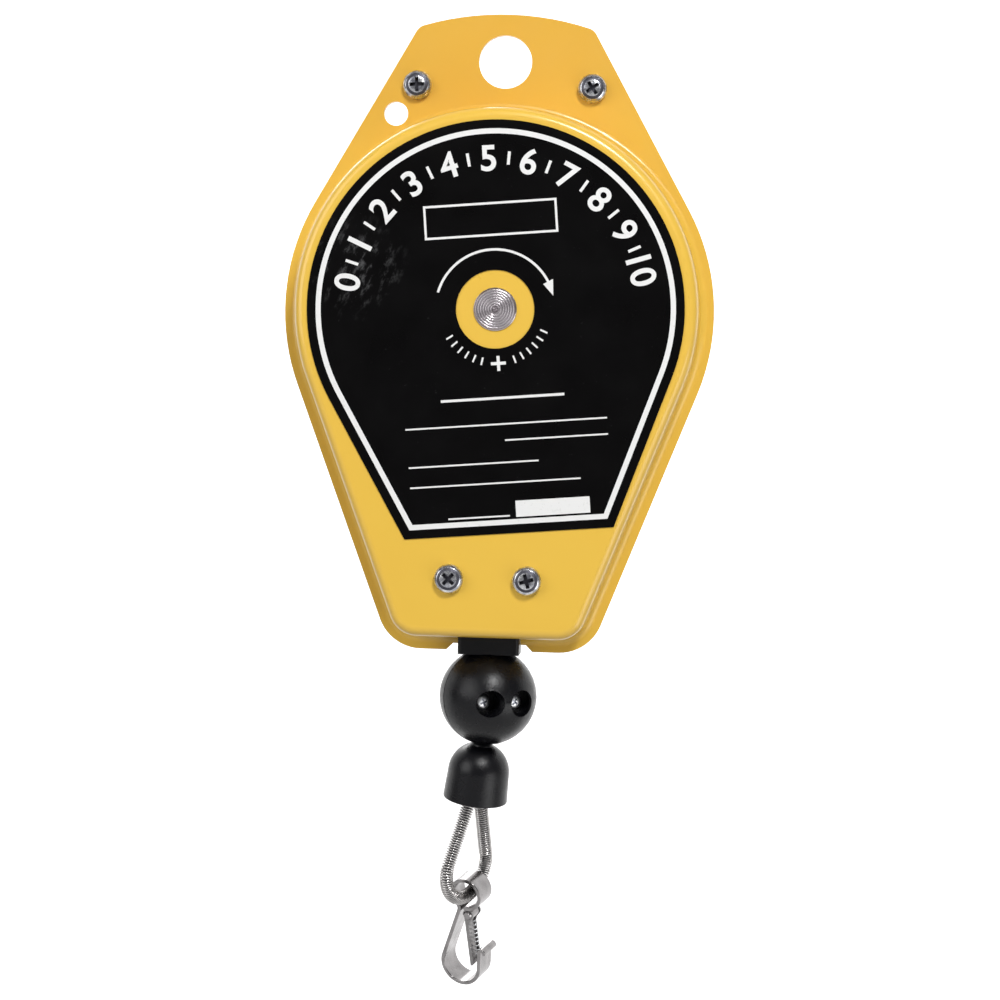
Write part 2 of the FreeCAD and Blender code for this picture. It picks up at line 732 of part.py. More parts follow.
def rope_guide():
    """The moulded neck: a lip held inside the shells, a bell mouth above and a seat for the ball."""
    body = new_body("rope_guide")
    half_width, half_depth = s.guide_width / 2, s.guide_depth / 2
    slope = tangent(s.wall_draft) * (half_depth + s.guide_lip)
    lip = s.shaft_drop + bulge_bottom - s.sheet_wall - slope - s.seat_play
    neck = new_sketch(body, "XY_Plane", -s.guide_bottom_drop)
    rectangle(neck, -half_width, -half_depth, half_width, half_depth)
    pad(neck, s.guide_bottom_drop - lip + s.guide_lip_height)
    fillet(body, s.guide_edge, lambda edge: edge.BoundBox.ZLength > s.guide_lip_height.value)
    rim = new_sketch(body, "XY_Plane", -lip)
    wide, deep = half_width + s.guide_lip, half_depth + s.guide_lip
    rectangle(rim, -wide, -deep, wide, deep)
    pad(rim, s.guide_lip_height)
    boss = new_sketch(body, "XY_Plane", -lip)
    circle(boss, 0, 0, s.guide_boss_radius)
    pad(boss, lip - s.guide_top_drop)
    bell_start = -(s.guide_top_drop + s.guide_bend_depth + 3)
    rise = -s.guide_top_drop - bell_start
    mouth = s.throat_radius + s.bell_radius - root(s.bell_radius * s.bell_radius - rise * rise)
    seat_top = -(s.ball_drop - root(seat_radius * seat_radius - s.throat_radius * s.throat_radius))
    seat_low = -(s.ball_drop - seat_radius * 0.5)
    seat_side = seat_radius * cosine(as_size(30))
    bore = new_sketch(body)
    draw(
        bore,
        [
            (0, -s.guide_top_drop),
            (0, seat_low),
            (seat_side, seat_low),
            (s.throat_radius, seat_top, seat_radius, 1),
            (s.throat_radius, bell_start),
            (mouth, -s.guide_top_drop, s.bell_radius, -1),
        ],
    )
    groove(bore)


# ---------------------------------------------------------------- arbor and drum


def arbor():
    """The turned arbor, from the end that shows in front to the thread that holds the ratchet."""
    body = new_body("arbor", z=-s.shaft_drop)
    profile = new_sketch(body, "XY_Plane")
    front = -(s.shell_depth + s.arbor_proud)
    thread = s.arbor_tail_radius - 2
    groove_radius = s.arbor_radius - s.clip_groove
    nut_end = boss_rear + s.nut_height + s.screw_tip
    edge = 0.5
    draw(
        profile,
        [
            (0, front + 1.2),
            (1.2, front),
            (s.arbor_end_radius - edge, front),
            (s.arbor_end_radius, front + edge),
            (s.arbor_end_radius, collar_front),
            (s.collar_radius, collar_front),
            (s.collar_radius, collar_rear),
            (s.arbor_radius, collar_rear),
            (s.arbor_radius, clip_front - 0.05),
            (groove_radius, clip_front - 0.05),
            (groove_radius, clip_rear + 0.05),
            (s.arbor_radius, clip_rear + 0.05),
            (s.arbor_radius, shoulder),
            (s.arbor_tail_radius, shoulder),
            (s.arbor_tail_radius, boss_rear - 0.3),
            (thread, boss_rear - 0.3),
            (thread, nut_end - edge),
            (thread - edge, nut_end),
            (0, nut_end),
        ],
    )
    revolve(profile)
    for side in (-1, 1):
        flat = new_sketch(body, offset=-wheel_front)
        rectangle(flat, side * s.tail_flats, -10, side * (s.tail_flats + 5), 10)
        pocket(flat, boss_rear - wheel_front)
    slot = new_sketch(body, offset=-(spring_front - s.plate_gap))
    half = s.spring_strip / 2 + 0.1
    rectangle(slot, 1.5, -half, s.arbor_radius + 1, half)
    pocket(slot, spring_rear - spring_front + s.plate_gap * 2)


def rope_drum():
    """The moulded drum: web, hub and barrel, open at the rear, with two flanges for the rope."""
    body = new_body("rope_drum", z=-s.shaft_drop)
    profile = new_sketch(body, "XY_Plane")
    front, rear = -s.drum_front, s.drum_rear
    bore = s.bush_radius
    draw(
        profile,
        [
            (bore, front),
            (s.drum_flange_radius, front),
            (s.drum_flange_radius, front + s.drum_flange),
            (s.barrel_radius, front + s.drum_flange),
            (s.barrel_radius, rear - s.drum_flange),
            (s.drum_flange_radius, rear - s.drum_flange),
            (s.drum_flange_radius, rear),
            (s.chamber_radius, rear),
            (s.chamber_radius, front + s.drum_web),
            (s.hub_radius, front + s.drum_web),
            (s.hub_radius, front + s.bush_length),
            (bore, front + s.bush_length),
        ],
    )
    revolve(profile)
    holes = new_sketch(body, offset=-rear)
    circle(holes, s.cover_screw_circle, 0, s.cover_screw_radius + 0.05)
    depth = s.cover_screw_length + 1 - s.cover_thickness
    round_about(body, pocket(holes, depth, False), 4)
    seat = new_sketch(body, offset=s.drum_front)
    half = s.rope_radius + 0.4
    rectangle(seat, -4.5, s.cover_screw_circle - half, 4.5, s.cover_screw_circle + half)
    pocket(seat, half)
    way = new_sketch(body, offset=s.drum_front)
    rectangle(way, -1.5, s.cover_screw_circle - half, 1.5, s.barrel_radius + s.rope_radius)
    pocket(way, lane_edge + s.rope_radius)


def drum_cover():
    body = new_body("drum_cover", z=-s.shaft_drop)
    sketch = new_sketch(body, offset=-s.drum_rear)
    circle(sketch, 0, 0, s.cover_radius)
    circle(sketch, 0, 0, s.bush_radius)
    pad(sketch, s.cover_thickness, True)
    holes = new_sketch(body, offset=-s.drum_rear)
    circle(holes, s.cover_screw_circle, 0, s.cover_screw_radius + 0.15)
    round_about(body, pocket(holes, s.cover_thickness), 4)


def drum_cover_screws():
    body = new_body("drum_cover_screws", z=-s.shaft_drop)
    sketch = new_sketch(body, "XY_Plane", 0, s.cover_screw_circle)
    head = s.cover_screw_radius * 1.8
    draw(
        sketch,
        [
            (0, cover_rear - s.cover_screw_length),
            (s.cover_screw_radius, cover_rear - s.cover_screw_length),
            (s.cover_screw_radius, cover_rear),
            (head, cover_rear),
            (head, cover_rear + 0.8),
            (head - 0.6, cover_rear + 1.4),
            (0, cover_rear + 1.4),
        ],
    )
    round_about(body, revolve(sketch), 4)


def bushes():
    """Plain bronze bushes: the front one fills the hub, the rear one has a flange."""
    inside = s.arbor_radius + s.turning_play
    front = new_body("front_bush", z=-s.shaft_drop)
    tube = new_sketch(front, offset=s.drum_front)
    circle(tube, 0, 0, s.bush_radius)
    circle(tube, 0, 0, inside)
    pad(tube, s.bush_length, True)
    rear = new_body("rear_bush", z=-s.shaft_drop)
    profile = new_sketch(rear, "XY_Plane")
    draw(
        profile,
        [
            (inside, s.drum_rear),
            (s.bush_radius, s.drum_rear),
            (s.bush_radius, cover_rear),
            (s.bush_flange_radius, cover_rear),
            (s.bush_flange_radius, bush_rear),
            (inside, bush_rear),
        ],
    )
    revolve(profile)


def drum_circlip():
    """The open ring that keeps the drum on the arbor."""
    body = new_body("drum_circlip", z=-s.shaft_drop)
    sketch = new_sketch(body, offset=-clip_front)
    inside = s.arbor_radius - s.clip_groove
    circle(sketch, 0, 0, inside + s.clip_width)
    circle(sketch, 0, 0, inside)
    pad(sketch, s.clip_thickness, True)
    gap = new_sketch(body, offset=-clip_front)
    rectangle(gap, -2.5, -20, 2.5, 0)
    pocket(gap, s.clip_thickness)


def ratchet_wheel():
    """Saw teeth with radial flanks, a hexagon for the spanner and a bore with two flats."""
    body = new_body("ratchet_wheel", z=-s.shaft_drop)
    teeth = new_sketch(body, offset=-wheel_front)
    count = int(s.ratchet_teeth.value)
    points = []
    for tooth in range(count):
        angle = as_size(tooth) * 360 / s.ratchet_teeth
        points.append((s.ratchet_radius * cosine(angle), s.ratchet_radius * sine(angle)))
        points.append((s.ratchet_root * cosine(angle), s.ratchet_root * sine(angle)))
    draw(teeth, points)
    pad(teeth, s.ratchet_thickness, True)
    boss = new_sketch(body, offset=-wheel_rear)
    hexagon(boss, s.hexagon_flats)
    pad(boss, s.hexagon_height, True)
    bore = new_sketch(body, offset=-wheel_front)
    flat = s.tail_flats + s.turning_play
    radius = s.arbor_tail_radius + s.turning_play
    rise = root(radius * radius - flat * flat)
    draw(bore, [(flat, rise), (-flat, rise, radius, 1), (-flat, -rise), (flat, -rise, radius, 1)])
    pocket(bore, boss_rear - wheel_front + 1)


def arbor_nut():
    body = new_body("arbor_nut", z=-s.shaft_drop)
    sketch = new_sketch(body, offset=-boss_rear)
    hexagon(sketch, s.nut_flats * 1.6)
    circle(sketch, 0, 0, s.arbor_tail_radius - 2 + s.turning_play)
    pad(sketch, s.nut_height, True)


def mainspring():
    """A flat spiral of half circles, its tongue in the arbor and its eye round the post."""
    half = s.spring_strip.value / 2
    inner = s.arbor_radius.value + half + s.plate_gap.value
    eye = s.post_radius.value + s.turning_play.value + half
    outer = s.chamber_radius.value - s.plate_gap.value - half - 2 * eye
    halves = int(s.spring_turns.value * 2)
    step = (outer - inner) / halves
    walls = {-half: [], half: []}
    side = 1
    x = inner
    for number in range(halves):
        radius = inner + step * (number + 0.5)
        centre = x - side * radius
        for offset, edges in walls.items():
            reach = radius + offset
            start = Vector(centre + side * reach, 0, 0)
            top = Vector(centre, 0, side * reach)
            edges.append(Part.Arc(start, top, Vector(centre - side * reach, 0, 0)).toShape())
        x = centre - side * radius
        side = -side
    inside, outside = walls[-half], walls[half]
    ends = [
        Part.makeLine(inside[0].Vertexes[0].Point, outside[0].Vertexes[0].Point),
        Part.makeLine(Vector(x - half, 0, 0), Vector(x + half, 0, 0)),
    ]
    loops = Part.sortEdges(inside + outside + ends)
    width = (spring_rear - spring_front).value
    depth = Vector(0, width, 0)
    strip = Part.Face(Part.Wire(loops[0])).extrude(depth)
    tongue = Part.makeBox(inner - 2 + half, width, 2 * half, Vector(2, 0, -half))
    hook_centre = Vector(x + eye, 0, 0)
    turn = Part.makeCylinder(eye + half, width, hook_centre, Vector(0, 1, 0))
    hole = Part.makeCylinder(eye - half, width, hook_centre, Vector(0, 1, 0))
    spring = strip.fuse([tongue, turn]).cut(hole)
    place = Placement(Vector(0, spring_front.value, -s.shaft_drop.value), Rotation())
    new_feature("mainspring", spring.removeSplitter(), place)
    post = doc.addObject("Part::Cylinder", "spring_post")
    post.Label = "spring_post"
    post_foot = Vector(x + eye, (s.drum_web - s.drum_front).value, -s.shaft_drop.value)
    post.Placement = Placement(post_foot, Rotation(Vector(1, 0, 0), -90))
    post.setExpression("Radius", s.post_radius.text)
    post.setExpression("Height", (s.drum_front - s.drum_web + s.drum_rear).text)
    MADE.append(post)


# ---------------------------------------------------------------- rope


def tube(path, radius, bore=None):
    """A round bar, or a tube with a bore, along a wire."""
    start = path.OrderedEdges[0]
    place = path.OrderedVertexes[0].Point
    direction = start.tangentAt(start.FirstParameter)
    if (start.valueAt(start.FirstParameter) - place).Length > 1e-6:
        direction = start.tangentAt(start.LastParameter) * -1

    def sweep(size):
        ring = Part.Wire(Part.makeCircle(size, place, direction))
        return path.makePipeShell([ring], True, False)

    bar = sweep(radius)
    if bore is None:
        return bar
    return bar.cut(sweep(bore))


def bent_path(points, radii):
    """Straight runs joined by tangent arcs, one radius for each inner point."""
    edges = []
    last = points[0]
    for corner, following, radius in zip(points[1:], points[2:], radii):
        before = (corner - last).normalize()
        after = (following - corner).normalize()
        turn = before.getAngle(after)
        setback = radius * math.tan(turn / 2)
        start, end = corner - before * setback, corner + after * setback
        inwards = (after - before).normalize()
        centre_distance = radius / math.cos(turn / 2)
        middle = corner + inwards * (centre_distance - radius)
        edges.append(Part.makeLine(last, start))
        edges.append(Part.Arc(start, middle, end).toShape())
        last = end
    edges.append(Part.makeLine(last, points[-1]))
    return Part.Wire(edges)


def rope_wound():
    """The full turns on the barrel, as one ring with a round for each turn."""
    body = new_body("rope_wound", z=-s.shaft_drop)
    profile = new_sketch(body, "XY_Plane")
    arch = s.rope_radius * 1.2
    half = s.lane_pitch / 2
    level = s.winding_radius + s.rope_radius - (arch - root(arch * arch - half * half))
    inside = s.winding_radius - s.rope_radius
    start = first_lane - half
    turns = int((last_lane - first_lane).value / s.lane_pitch.value)
    points = [(inside, start), (level, start)]
    for turn in range(1, turns + 1):
        points.append((level, start + s.lane_pitch * turn, arch, 1))
    points.append((inside, start + s.lane_pitch * turns))
    draw(profile, points)
    revolve(profile)


def ropes():
    """The rope from the drum to the guide, the run to the ball, and the tail to the ferrule."""
    reach = s.winding_radius.value
    bend = (s.guide_top_drop + s.guide_bend_depth - s.shaft_drop).value
    slope = math.asin(reach / bend)
    lane = last_lane.value
    drum_centre = Vector(0, lane, -s.shaft_drop.value)

    def on_drum(angle):
        return drum_centre + Vector(-math.cos(angle), 0, -math.sin(angle)) * reach

    wrap = math.radians(s.wrap_angle.value)
    arc = Part.Arc(on_drum(slope - wrap), on_drum(slope - wrap / 2), on_drum(slope)).toShape()
    corner = Vector(0, 0, -(s.shaft_drop.value + bend))
    join = Vector(0, 0, -s.rope_join_drop.value)
    leave = on_drum(slope)
    level = Vector(corner.x, lane, corner.z)
    ease = leave + (level - leave) * 0.25
    route = bent_path([leave, ease, corner, join], [60, s.guide_bend_radius.value])
    radius = s.rope_radius.value
    new_feature("rope_inner", tube(Part.Wire([arc] + route.Edges), radius))
    ball = Vector(0, 0, -s.ball_drop.value)
    meet = ball + Vector(0, 0, s.tail_rise.value)
    new_feature("rope_run", tube(Part.Wire([Part.makeLine(join, meet)]), radius))
    end = end_place().multVec(Vector(0, 0, -(cap_inside + ferrule_entry).value))
    tail = bent_path([meet, ball, end], [s.guide_bend_radius.value])
    new_feature("rope_tail", tube(tail, radius))


def rope_anchor():
    """The ferrule that holds the rope's inner end in the drum's front."""
    anchor = doc.addObject("Part::Cylinder", "rope_anchor")
    anchor.Label = "rope_anchor"
    place = Vector(-4, -s.drum_front.value, s.cover_screw_circle.value - s.shaft_drop.value)
    anchor.Placement = Placement(place, Rotation(Vector(0, 1, 0), 90))
    anchor.setExpression("Radius", (s.rope_radius + 0.35).text)
    anchor.setExpression("Height", "8")
    MADE.append(anchor)


# ---------------------------------------------------------------- ball stop


def ball_half(label, front):
    """Half of the ball, with the rope's groove, two deep round holes and seats for heads or nuts."""
    body = new_body(label)
    body.Placement = Placement(Vector(0, 0, -s.ball_drop.value), Rotation(Vector(0, 0, 1), s.ball_turn.value))
    way = -1 if front else 1
    quarter = new_sketch(body, "XY_Plane")
    if front:
        draw(quarter, [(0, 0), (0, -s.ball_radius), (s.ball_radius, 0, s.ball_radius, 1)])
    else:
        draw(quarter, [(0, 0), (s.ball_radius, 0), (0, s.ball_radius, s.ball_radius, 1)])
    revolve(quarter)
    rim = s.ball_radius.value * 3
    fillet(body, s.ball_edge, lambda edge: edge.BoundBox.YLength < 0.01 and edge.Length > rim)
    shanks = new_sketch(body)
    seats = new_sketch(body, offset=-way * s.counterbore_floor)
    for side in (-1, 1):
        circle(shanks, side * s.ball_screw_side, -s.ball_screw_drop, s.ball_screw_radius + s.screw_play)
        if front:
            circle(seats, side * s.ball_screw_side, -s.ball_screw_drop, s.counterbore_radius)
        else:
            hexagon(seats, s.ball_nut_flats + 0.2, side * s.ball_screw_side, -s.ball_screw_drop)
    pocket(shanks)
    pocket(seats, s.ball_radius, not front)
    rope = new_sketch(body, "XY_Plane")
    circle(rope, 0, 0, rope_bore)
    pocket(rope)
    mouth = new_sketch(body)
    way_out = s.ball_radius * tangent(s.end_tilt) + rope_bore / cosine(s.end_tilt) + s.seat_play
    draw(mouth, [(0, rope_bore), (rope_bore, rope_bore), (way_out, -s.ball_radius), (0, -s.ball_radius)])
    groove(mouth)


def ball_fasteners():
    """The two screws through the ball and their nuts."""
    place = Placement(Vector(0, 0, -s.ball_drop.value), Rotation(Vector(0, 0, 1), s.ball_turn.value))
    screws = new_body("ball_screws")
    screws.Placement = place
    seat, nut_seat = -s.counterbore_floor, s.counterbore_floor
    tip = nut_seat + s.ball_nut_height + 0.5
    head = (s.ball_head_radius, s.ball_head_height)
    row = (s.ball_screw_side, -s.ball_screw_drop)
    mirror(screws, pan_screw(screws, *row, seat, tip, s.ball_screw_radius, *head))
    nuts = new_body("ball_nuts")
    nuts.Placement = place
    sketch = new_sketch(nuts, offset=-nut_seat)
    hexagon(sketch, s.ball_nut_flats, *row)
    circle(sketch, *row, s.ball_screw_radius + s.turning_play)
    mirror(nuts, [pad(sketch, s.ball_nut_height, True)])


# ---------------------------------------------------------------- cap, ferrule, loop and guard

cap_inside = s.cap_gap + s.cap_ceiling
ferrule_end = cap_inside + s.ferrule_length
ferrule_entry = as_size(3)


def rope_cap():
    """The bell-shaped cap over the ferrule, open below."""
    body = new_body("rope_cap")
    body.Placement = end_place()
    top = -s.cap_gap
    shoulder_z = top - s.cap_shoulder_drop
    mouth = top - s.cap_length
    inside = s.cap_shoulder_radius - s.cap_wall
    mouth_inside = s.cap_mouth_radius - s.cap_wall
    profile = new_sketch(body)
    dome = s.cap_shoulder_drop * 1.1
    draw(
        profile,
        [
            (rope_bore, top),
            (rope_bore, -cap_inside),
            (inside - 1.5, -cap_inside),
            (inside, -cap_inside - 1.5, as_size(1.5), -1),
            (inside, shoulder_z - 1),
            (mouth_inside, mouth),
            (s.cap_mouth_radius, mouth),
            (s.cap_shoulder_radius, shoulder_z),
            (s.cap_top_radius, top, dome, 1),
        ],
    )
    revolve(profile)
    fillet(body, s.cap_rim, lies_at("z", mouth.value))


def rope_ferrule():
    """The pressed sleeve that closes the loop: one rope enters above, two legs leave below."""
    body = new_body("rope_ferrule")
    body.Placement = end_place(0, s.loop_turn.value)
    round_part = new_sketch(body, "XY_Plane", -ferrule_end)
    circle(round_part, 0, 0, s.leg_side + s.rope_radius + s.ferrule_wall)
    pad(round_part, s.ferrule_length)
    above = new_sketch(body, "XY_Plane", -cap_inside)
    circle(above, 0, 0, rope_bore)
    cut_down(above, ferrule_entry)
    legs = new_sketch(body, "XY_Plane", -ferrule_end + 4)
    for side in (-1, 1):
        circle(legs, side * s.leg_side, 0, rope_bore)
    cut_down(legs, 4)


def cut_down(sketch, length):
    """Cuts a prism downwards from a level sketch."""
    return pocket(sketch, length, True)


def loop_path(start=None):
    """One leg, the round bottom, the other leg, from a height. Without one it starts on the
    spreading legs, where there is room between them for the guard."""
    side, drop = s.leg_side.value, s.spread_drop.value
    radius = s.loop_radius.value
    centre = Vector(0, 0, -s.loop_drop.value)
    corner = Vector(side, 0, -drop)
    away = centre - corner
    angle = math.asin(radius / away.Length) - math.atan(side / (s.loop_drop.value - drop))
    spread = Vector(math.sin(angle), 0, -math.cos(angle))
    touch = corner + spread * math.sqrt(away.Length**2 - radius**2)
    bottom = centre + Vector(0, 0, -radius)
    slant = math.pi / 4 - angle / 2
    middle = centre + Vector(math.cos(slant), 0, -math.sin(slant)) * radius

    def other(point):
        return Vector(-point.x, 0, point.z)

    if start is None:
        room = s.guard_radius.value * math.cos(angle) + s.seat_play.value
        first = corner + spread * ((room - side) / math.sin(angle))
        leg = [Part.makeLine(first, touch)]
        back = [Part.makeLine(other(touch), other(first))]
    else:
        bend = s.spread_radius.value
        setback = bend * math.tan(angle / 2)
        low, high = corner + spread * setback, corner + Vector(0, 0, setback)
        turn_centre = high + Vector(bend, 0, 0)
        halfway = turn_centre + Vector(-math.cos(angle / 2), 0, -math.sin(angle / 2)) * bend
        leg = [
            Part.makeLine(Vector(side, 0, start), high),
            Part.Arc(high, halfway, low).toShape(),
            Part.makeLine(low, touch),
        ]
        back = [
            Part.makeLine(other(touch), other(low)),
            Part.Arc(other(low), other(halfway), other(high)).toShape(),
            Part.makeLine(other(high), Vector(-side, 0, start)),
        ]
    round_bottom = [
        Part.Arc(touch, middle, bottom).toShape(),
        Part.Arc(bottom, other(middle), other(touch)).toShape(),
    ]
    return Part.Wire(leg + round_bottom + back)


def loop_and_guard():
    """The rope's loop and the close-wound guard over it, as plain tubes."""
    place = end_place(0, s.loop_turn.value)
    legs_top = (-ferrule_end).value + 3.5
    new_feature("rope_loop", tube(loop_path(legs_top), s.rope_radius.value), place)
    guard = tube(loop_path(), s.guard_radius.value, s.guard_bore.value)
    new_feature("spring_guard", guard, place)


# ---------------------------------------------------------------- hook and gate

knuckle_drop = s.eye_radius + s.strip_thickness / 2 + s.plate_gap + s.gate_nose_radius
knuckle_radius = s.rivet_radius + s.turning_play + s.knuckle_wall


def eye_place():
    """The hook's own frame: the centre of its eye on the round of the loop, then its three turns."""
    angle = math.radians(s.hook_round.value)
    reach = (s.loop_radius - s.eye_lift).value
    round_bottom = end_place(s.loop_drop.value, s.loop_turn.value)
    centre = round_bottom.multVec(Vector(math.sin(angle), 0, -math.cos(angle)) * reach)
    turn = Rotation(Vector(0, 0, 1), s.hook_turn.value)
    tip = Rotation(Vector(1, 0, 0), s.hook_tip.value)
    lie = Rotation(Vector(0, 1, 0), s.hook_lie.value)
    return Placement(centre, end_place().Rotation * turn * tip * lie)


hook_place = eye_place()


def hook_path():
    """The middle line of the bent strip: eye, reverse bend, leg, bowl, nose and its curl."""
    eye, neck, bowl = s.eye_radius.value, s.neck_radius.value, s.bowl_radius.value
    angle = math.radians(s.leg_angle.value)
    up = Vector(math.sin(angle), 0, math.cos(angle))
    out = Vector(-math.cos(angle), 0, math.sin(angle))
    bowl_centre = Vector(-s.bowl_side.value, 0, -s.bowl_drop.value)
    leg_low = bowl_centre + out * bowl
    base = leg_low + out * neck
    along = base.dot(up)
    rise = -along - math.sqrt(along**2 - base.Length**2 + (eye + neck) ** 2)
    neck_centre = base + up * rise
    leg_high = neck_centre - out * neck
    meet = neck_centre * (eye / (eye + neck))
    middle = (leg_high + meet) * 0.5 - neck_centre
    left, top, right = Vector(-eye, 0, 0), Vector(0, 0, eye), Vector(eye, 0, 0)
    slant = math.sqrt(0.5)
    lower_left = (left + meet).normalize() * eye
    bowl_right = bowl_centre + Vector(bowl, 0, 0)
    bowl_low = bowl_centre + Vector(0, 0, -bowl)
    low_turn = math.pi / 4 - angle / 2
    bowl_left = bowl_centre + Vector(-math.sin(low_turn), 0, -math.cos(low_turn)) * bowl
    nose = bowl_right + Vector(0, 0, s.nose_rise.value)
    curl = s.nose_curl_radius.value
    return Part.Wire(
        [
            Part.Arc(Vector(0, 0, -eye), Vector(slant, 0, -slant) * eye, right).toShape(),
            Part.Arc(right, Vector(slant, 0, slant) * eye, top).toShape(),
            Part.Arc(top, Vector(-slant, 0, slant) * eye, left).toShape(),
            Part.Arc(left, lower_left, meet).toShape(),
            Part.Arc(meet, neck_centre + middle.normalize() * neck, leg_high).toShape(),
            Part.makeLine(leg_high, leg_low),
            Part.Arc(leg_low, bowl_left, bowl_low).toShape(),
            Part.Arc(bowl_low, bowl_centre + Vector(slant, 0, -slant) * bowl, bowl_right).toShape(),
            Part.makeLine(bowl_right, nose),
            Part.Arc(nose, nose + Vector(curl, 0, curl), nose + Vector(2 * curl, 0, 0)).toShape(),
        ]
    )


def hook_strip():
    """The hook: one strip bent to an eye, a leg and a bowl, with a knuckle for the gate."""
    width, half = s.strip_width.value, s.strip_thickness.value / 2
    outline = hook_path().makeOffset2D(half, 0, False, False)
    strip = Part.Face(outline).extrude(Vector(0, width, 0))
    strip.translate(Vector(0, -width / 2, 0))
    edges = [edge for edge in strip.Edges if edge.BoundBox.YLength < 0.01 and edge.Length > 2 * half]
    strip = strip.makeFillet(s.strip_edge.value, edges)
    knuckle, depth = s.knuckle_width.value, knuckle_drop.value
    start = Vector(s.knuckle_side.value, -knuckle / 2, -depth)
    ring = Part.makeCylinder(knuckle_radius.value, knuckle, start, Vector(0, 1, 0))
    tongue_low = start + Vector(-half, 0, s.rivet_radius.value)
    tongue = Part.makeBox(2 * half, knuckle, depth - s.eye_radius.value - s.rivet_radius.value, tongue_low)
    pin = s.rivet_radius.value + s.turning_play.value
    hole = Part.makeCylinder(pin, knuckle, start, Vector(0, 1, 0))
    hook = strip.fuse([ring, tongue]).cut(hole)
    new_feature("hook_strip", hook.removeSplitter(), hook_place)


def gate_frame():
    """The gate's own frame: the rivet, turned so that the gate's foot rests at the nose."""
    rest = s.bowl_radius - s.bowl_side - s.strip_thickness / 2 - s.gate_gap - s.knuckle_side
    reach = math.hypot(s.gate_length.value, s.gate_outside.value)
    lean = math.asin(rest.value / reach) - math.atan(s.gate_outside.value / s.gate_length.value)
    rivet = Vector(s.knuckle_side.value, 0, -knuckle_drop.value)
    return hook_place * Placement(rivet, Rotation(Vector(0, -1, 0), math.degrees(lean)))


def hook_gate():
    """The gate: a channel of thin strip, its web inside, its foot against the nose."""
    body = new_body("hook_gate")
    body.Placement = gate_frame()
    side = new_sketch(body)
    nose = s.gate_nose_radius
    length = s.gate_length
    draw(
        side,
        [
            (-s.gate_inside, 0),
            (-s.gate_inside, -length),
            (s.gate_outside, -length),
            (s.gate_outside, -(length * 0.25)),
            (nose, 0),
            (0, nose, nose, 1),
            (-s.gate_inside * 0.95, 0, nose, 1),
        ],
    )
    pad(side, s.gate_width).Midplane = True
    web = s.gate_thickness - s.gate_inside
    inside = new_sketch(body)
    clear = knuckle_radius + s.plate_gap
    draw(
        inside,
        [
            (-s.gate_inside - 1, nose + 1),
            (-s.gate_inside - 1, -clear),
            (web, -clear),
            (web, s.gate_thickness - length),
            (s.gate_outside + 1, s.gate_thickness - length),
            (s.gate_outside + 1, nose + 1),
        ],
    )
    channel = pocket(inside, s.gate_width - s.gate_thickness * 2)
    channel.Midplane = True
    hole = new_sketch(body)
    circle(hole, 0, 0, s.rivet_radius + s.turning_play)
    pocket(hole)


def gate_rivet():
    body = new_body("gate_rivet")
    body.Placement = gate_frame()
    profile = new_sketch(body, "XY_Plane")
    end = s.gate_width / 2 + s.plate_gap / 2
    head = s.rivet_radius * 1.7
    draw(
        profile,
        [
            (0, -end - 0.5),
            (head - 0.4, -end - 0.5),
            (head, -end),
            (s.rivet_radius, -end),
            (s.rivet_radius, end),
            (head, end),
            (head - 0.4, end + 0.5),
            (0, end + 0.5),
        ],
    )
    revolve(profile)


def gate_spring():
    """The coil spring along the gate's channel, as a plain tube."""
    body = new_body("gate_spring")
    body.Placement = gate_frame()
    radius = s.gate_spring_radius
    top = -(knuckle_radius + s.plate_gap)
    low = s.gate_thickness - s.gate_length
    centre = s.gate_thickness - s.gate_inside + radius + s.turning_play
    sketch = new_sketch(body, "XY_Plane", low)
    circle(sketch, centre, 0, radius)
    circle(sketch, centre, 0, radius * 0.6)
    pad(sketch, top - low)


# ---------------------------------------------------------------- pawl

pawl_x, pawl_z = -s.pawl_side, s.pawl_rise
coil_middle = wheel_rear + s.plate_gap + s.pawl_coil / 2


def pawl():
    """The pawl: a hooked nose behind a tooth, an eye round its pin, and a tail with a thumb tab."""
    body = new_body("pawl", z=-s.shaft_drop)
    plate = new_sketch(body, offset=-wheel_front)
    low = s.ratchet_root + s.plate_gap * 2
    rim = s.ratchet_radius + s.plate_gap * 2
    boss = s.pawl_boss_radius
    draw(
        plate,
        [
            (-s.tooth_gap, low),
            (-s.tooth_gap, rim),
            (pawl_x * 0.35, rim + 3),
            (pawl_x, pawl_z + boss),
            (pawl_x - 12, pawl_z + 3),
            (pawl_x - 12, pawl_z - 1.5),
            (pawl_x, pawl_z - boss),
            (pawl_x * 0.6, rim - 0.6),
            (pawl_x * 0.25, rim - 0.6),
            (-s.tooth_gap - 2.6, low),
        ],
    )
    pad(plate, s.ratchet_thickness, True)
    tab = new_sketch(body, offset=-wheel_front)
    rectangle(tab, pawl_x - 12, pawl_z - 1.5, pawl_x - 10, pawl_z + 3)
    pad(tab, s.ratchet_thickness + 6, True)
    eye = new_sketch(body, offset=-wheel_front)
    circle(eye, pawl_x, pawl_z, s.pawl_pin_radius + s.turning_play)
    pocket(eye, s.ratchet_thickness)


def pawl_pin():
    """The pin, riveted into the rear shell, with a head that keeps pawl and spring on it."""
    body = new_body("pawl_pin", x=pawl_x, z=pawl_z - s.shaft_drop)
    profile = new_sketch(body, "XY_Plane")
    rear_head = wheel_rear + s.plate_gap * 2 + s.pawl_coil
    draw(
        profile,
        [
            (0, inner_face - s.pin_head),
            (s.pin_head_radius, inner_face - s.pin_head),
            (s.pin_head_radius, inner_face),
            (s.pawl_pin_radius, inner_face),
            (s.pawl_pin_radius, rear_head),
            (s.pin_head_radius, rear_head),
            (s.pin_head_radius, rear_head + s.pin_head),
            (0, rear_head + s.pin_head),
        ],
    )
    revolve(profile)


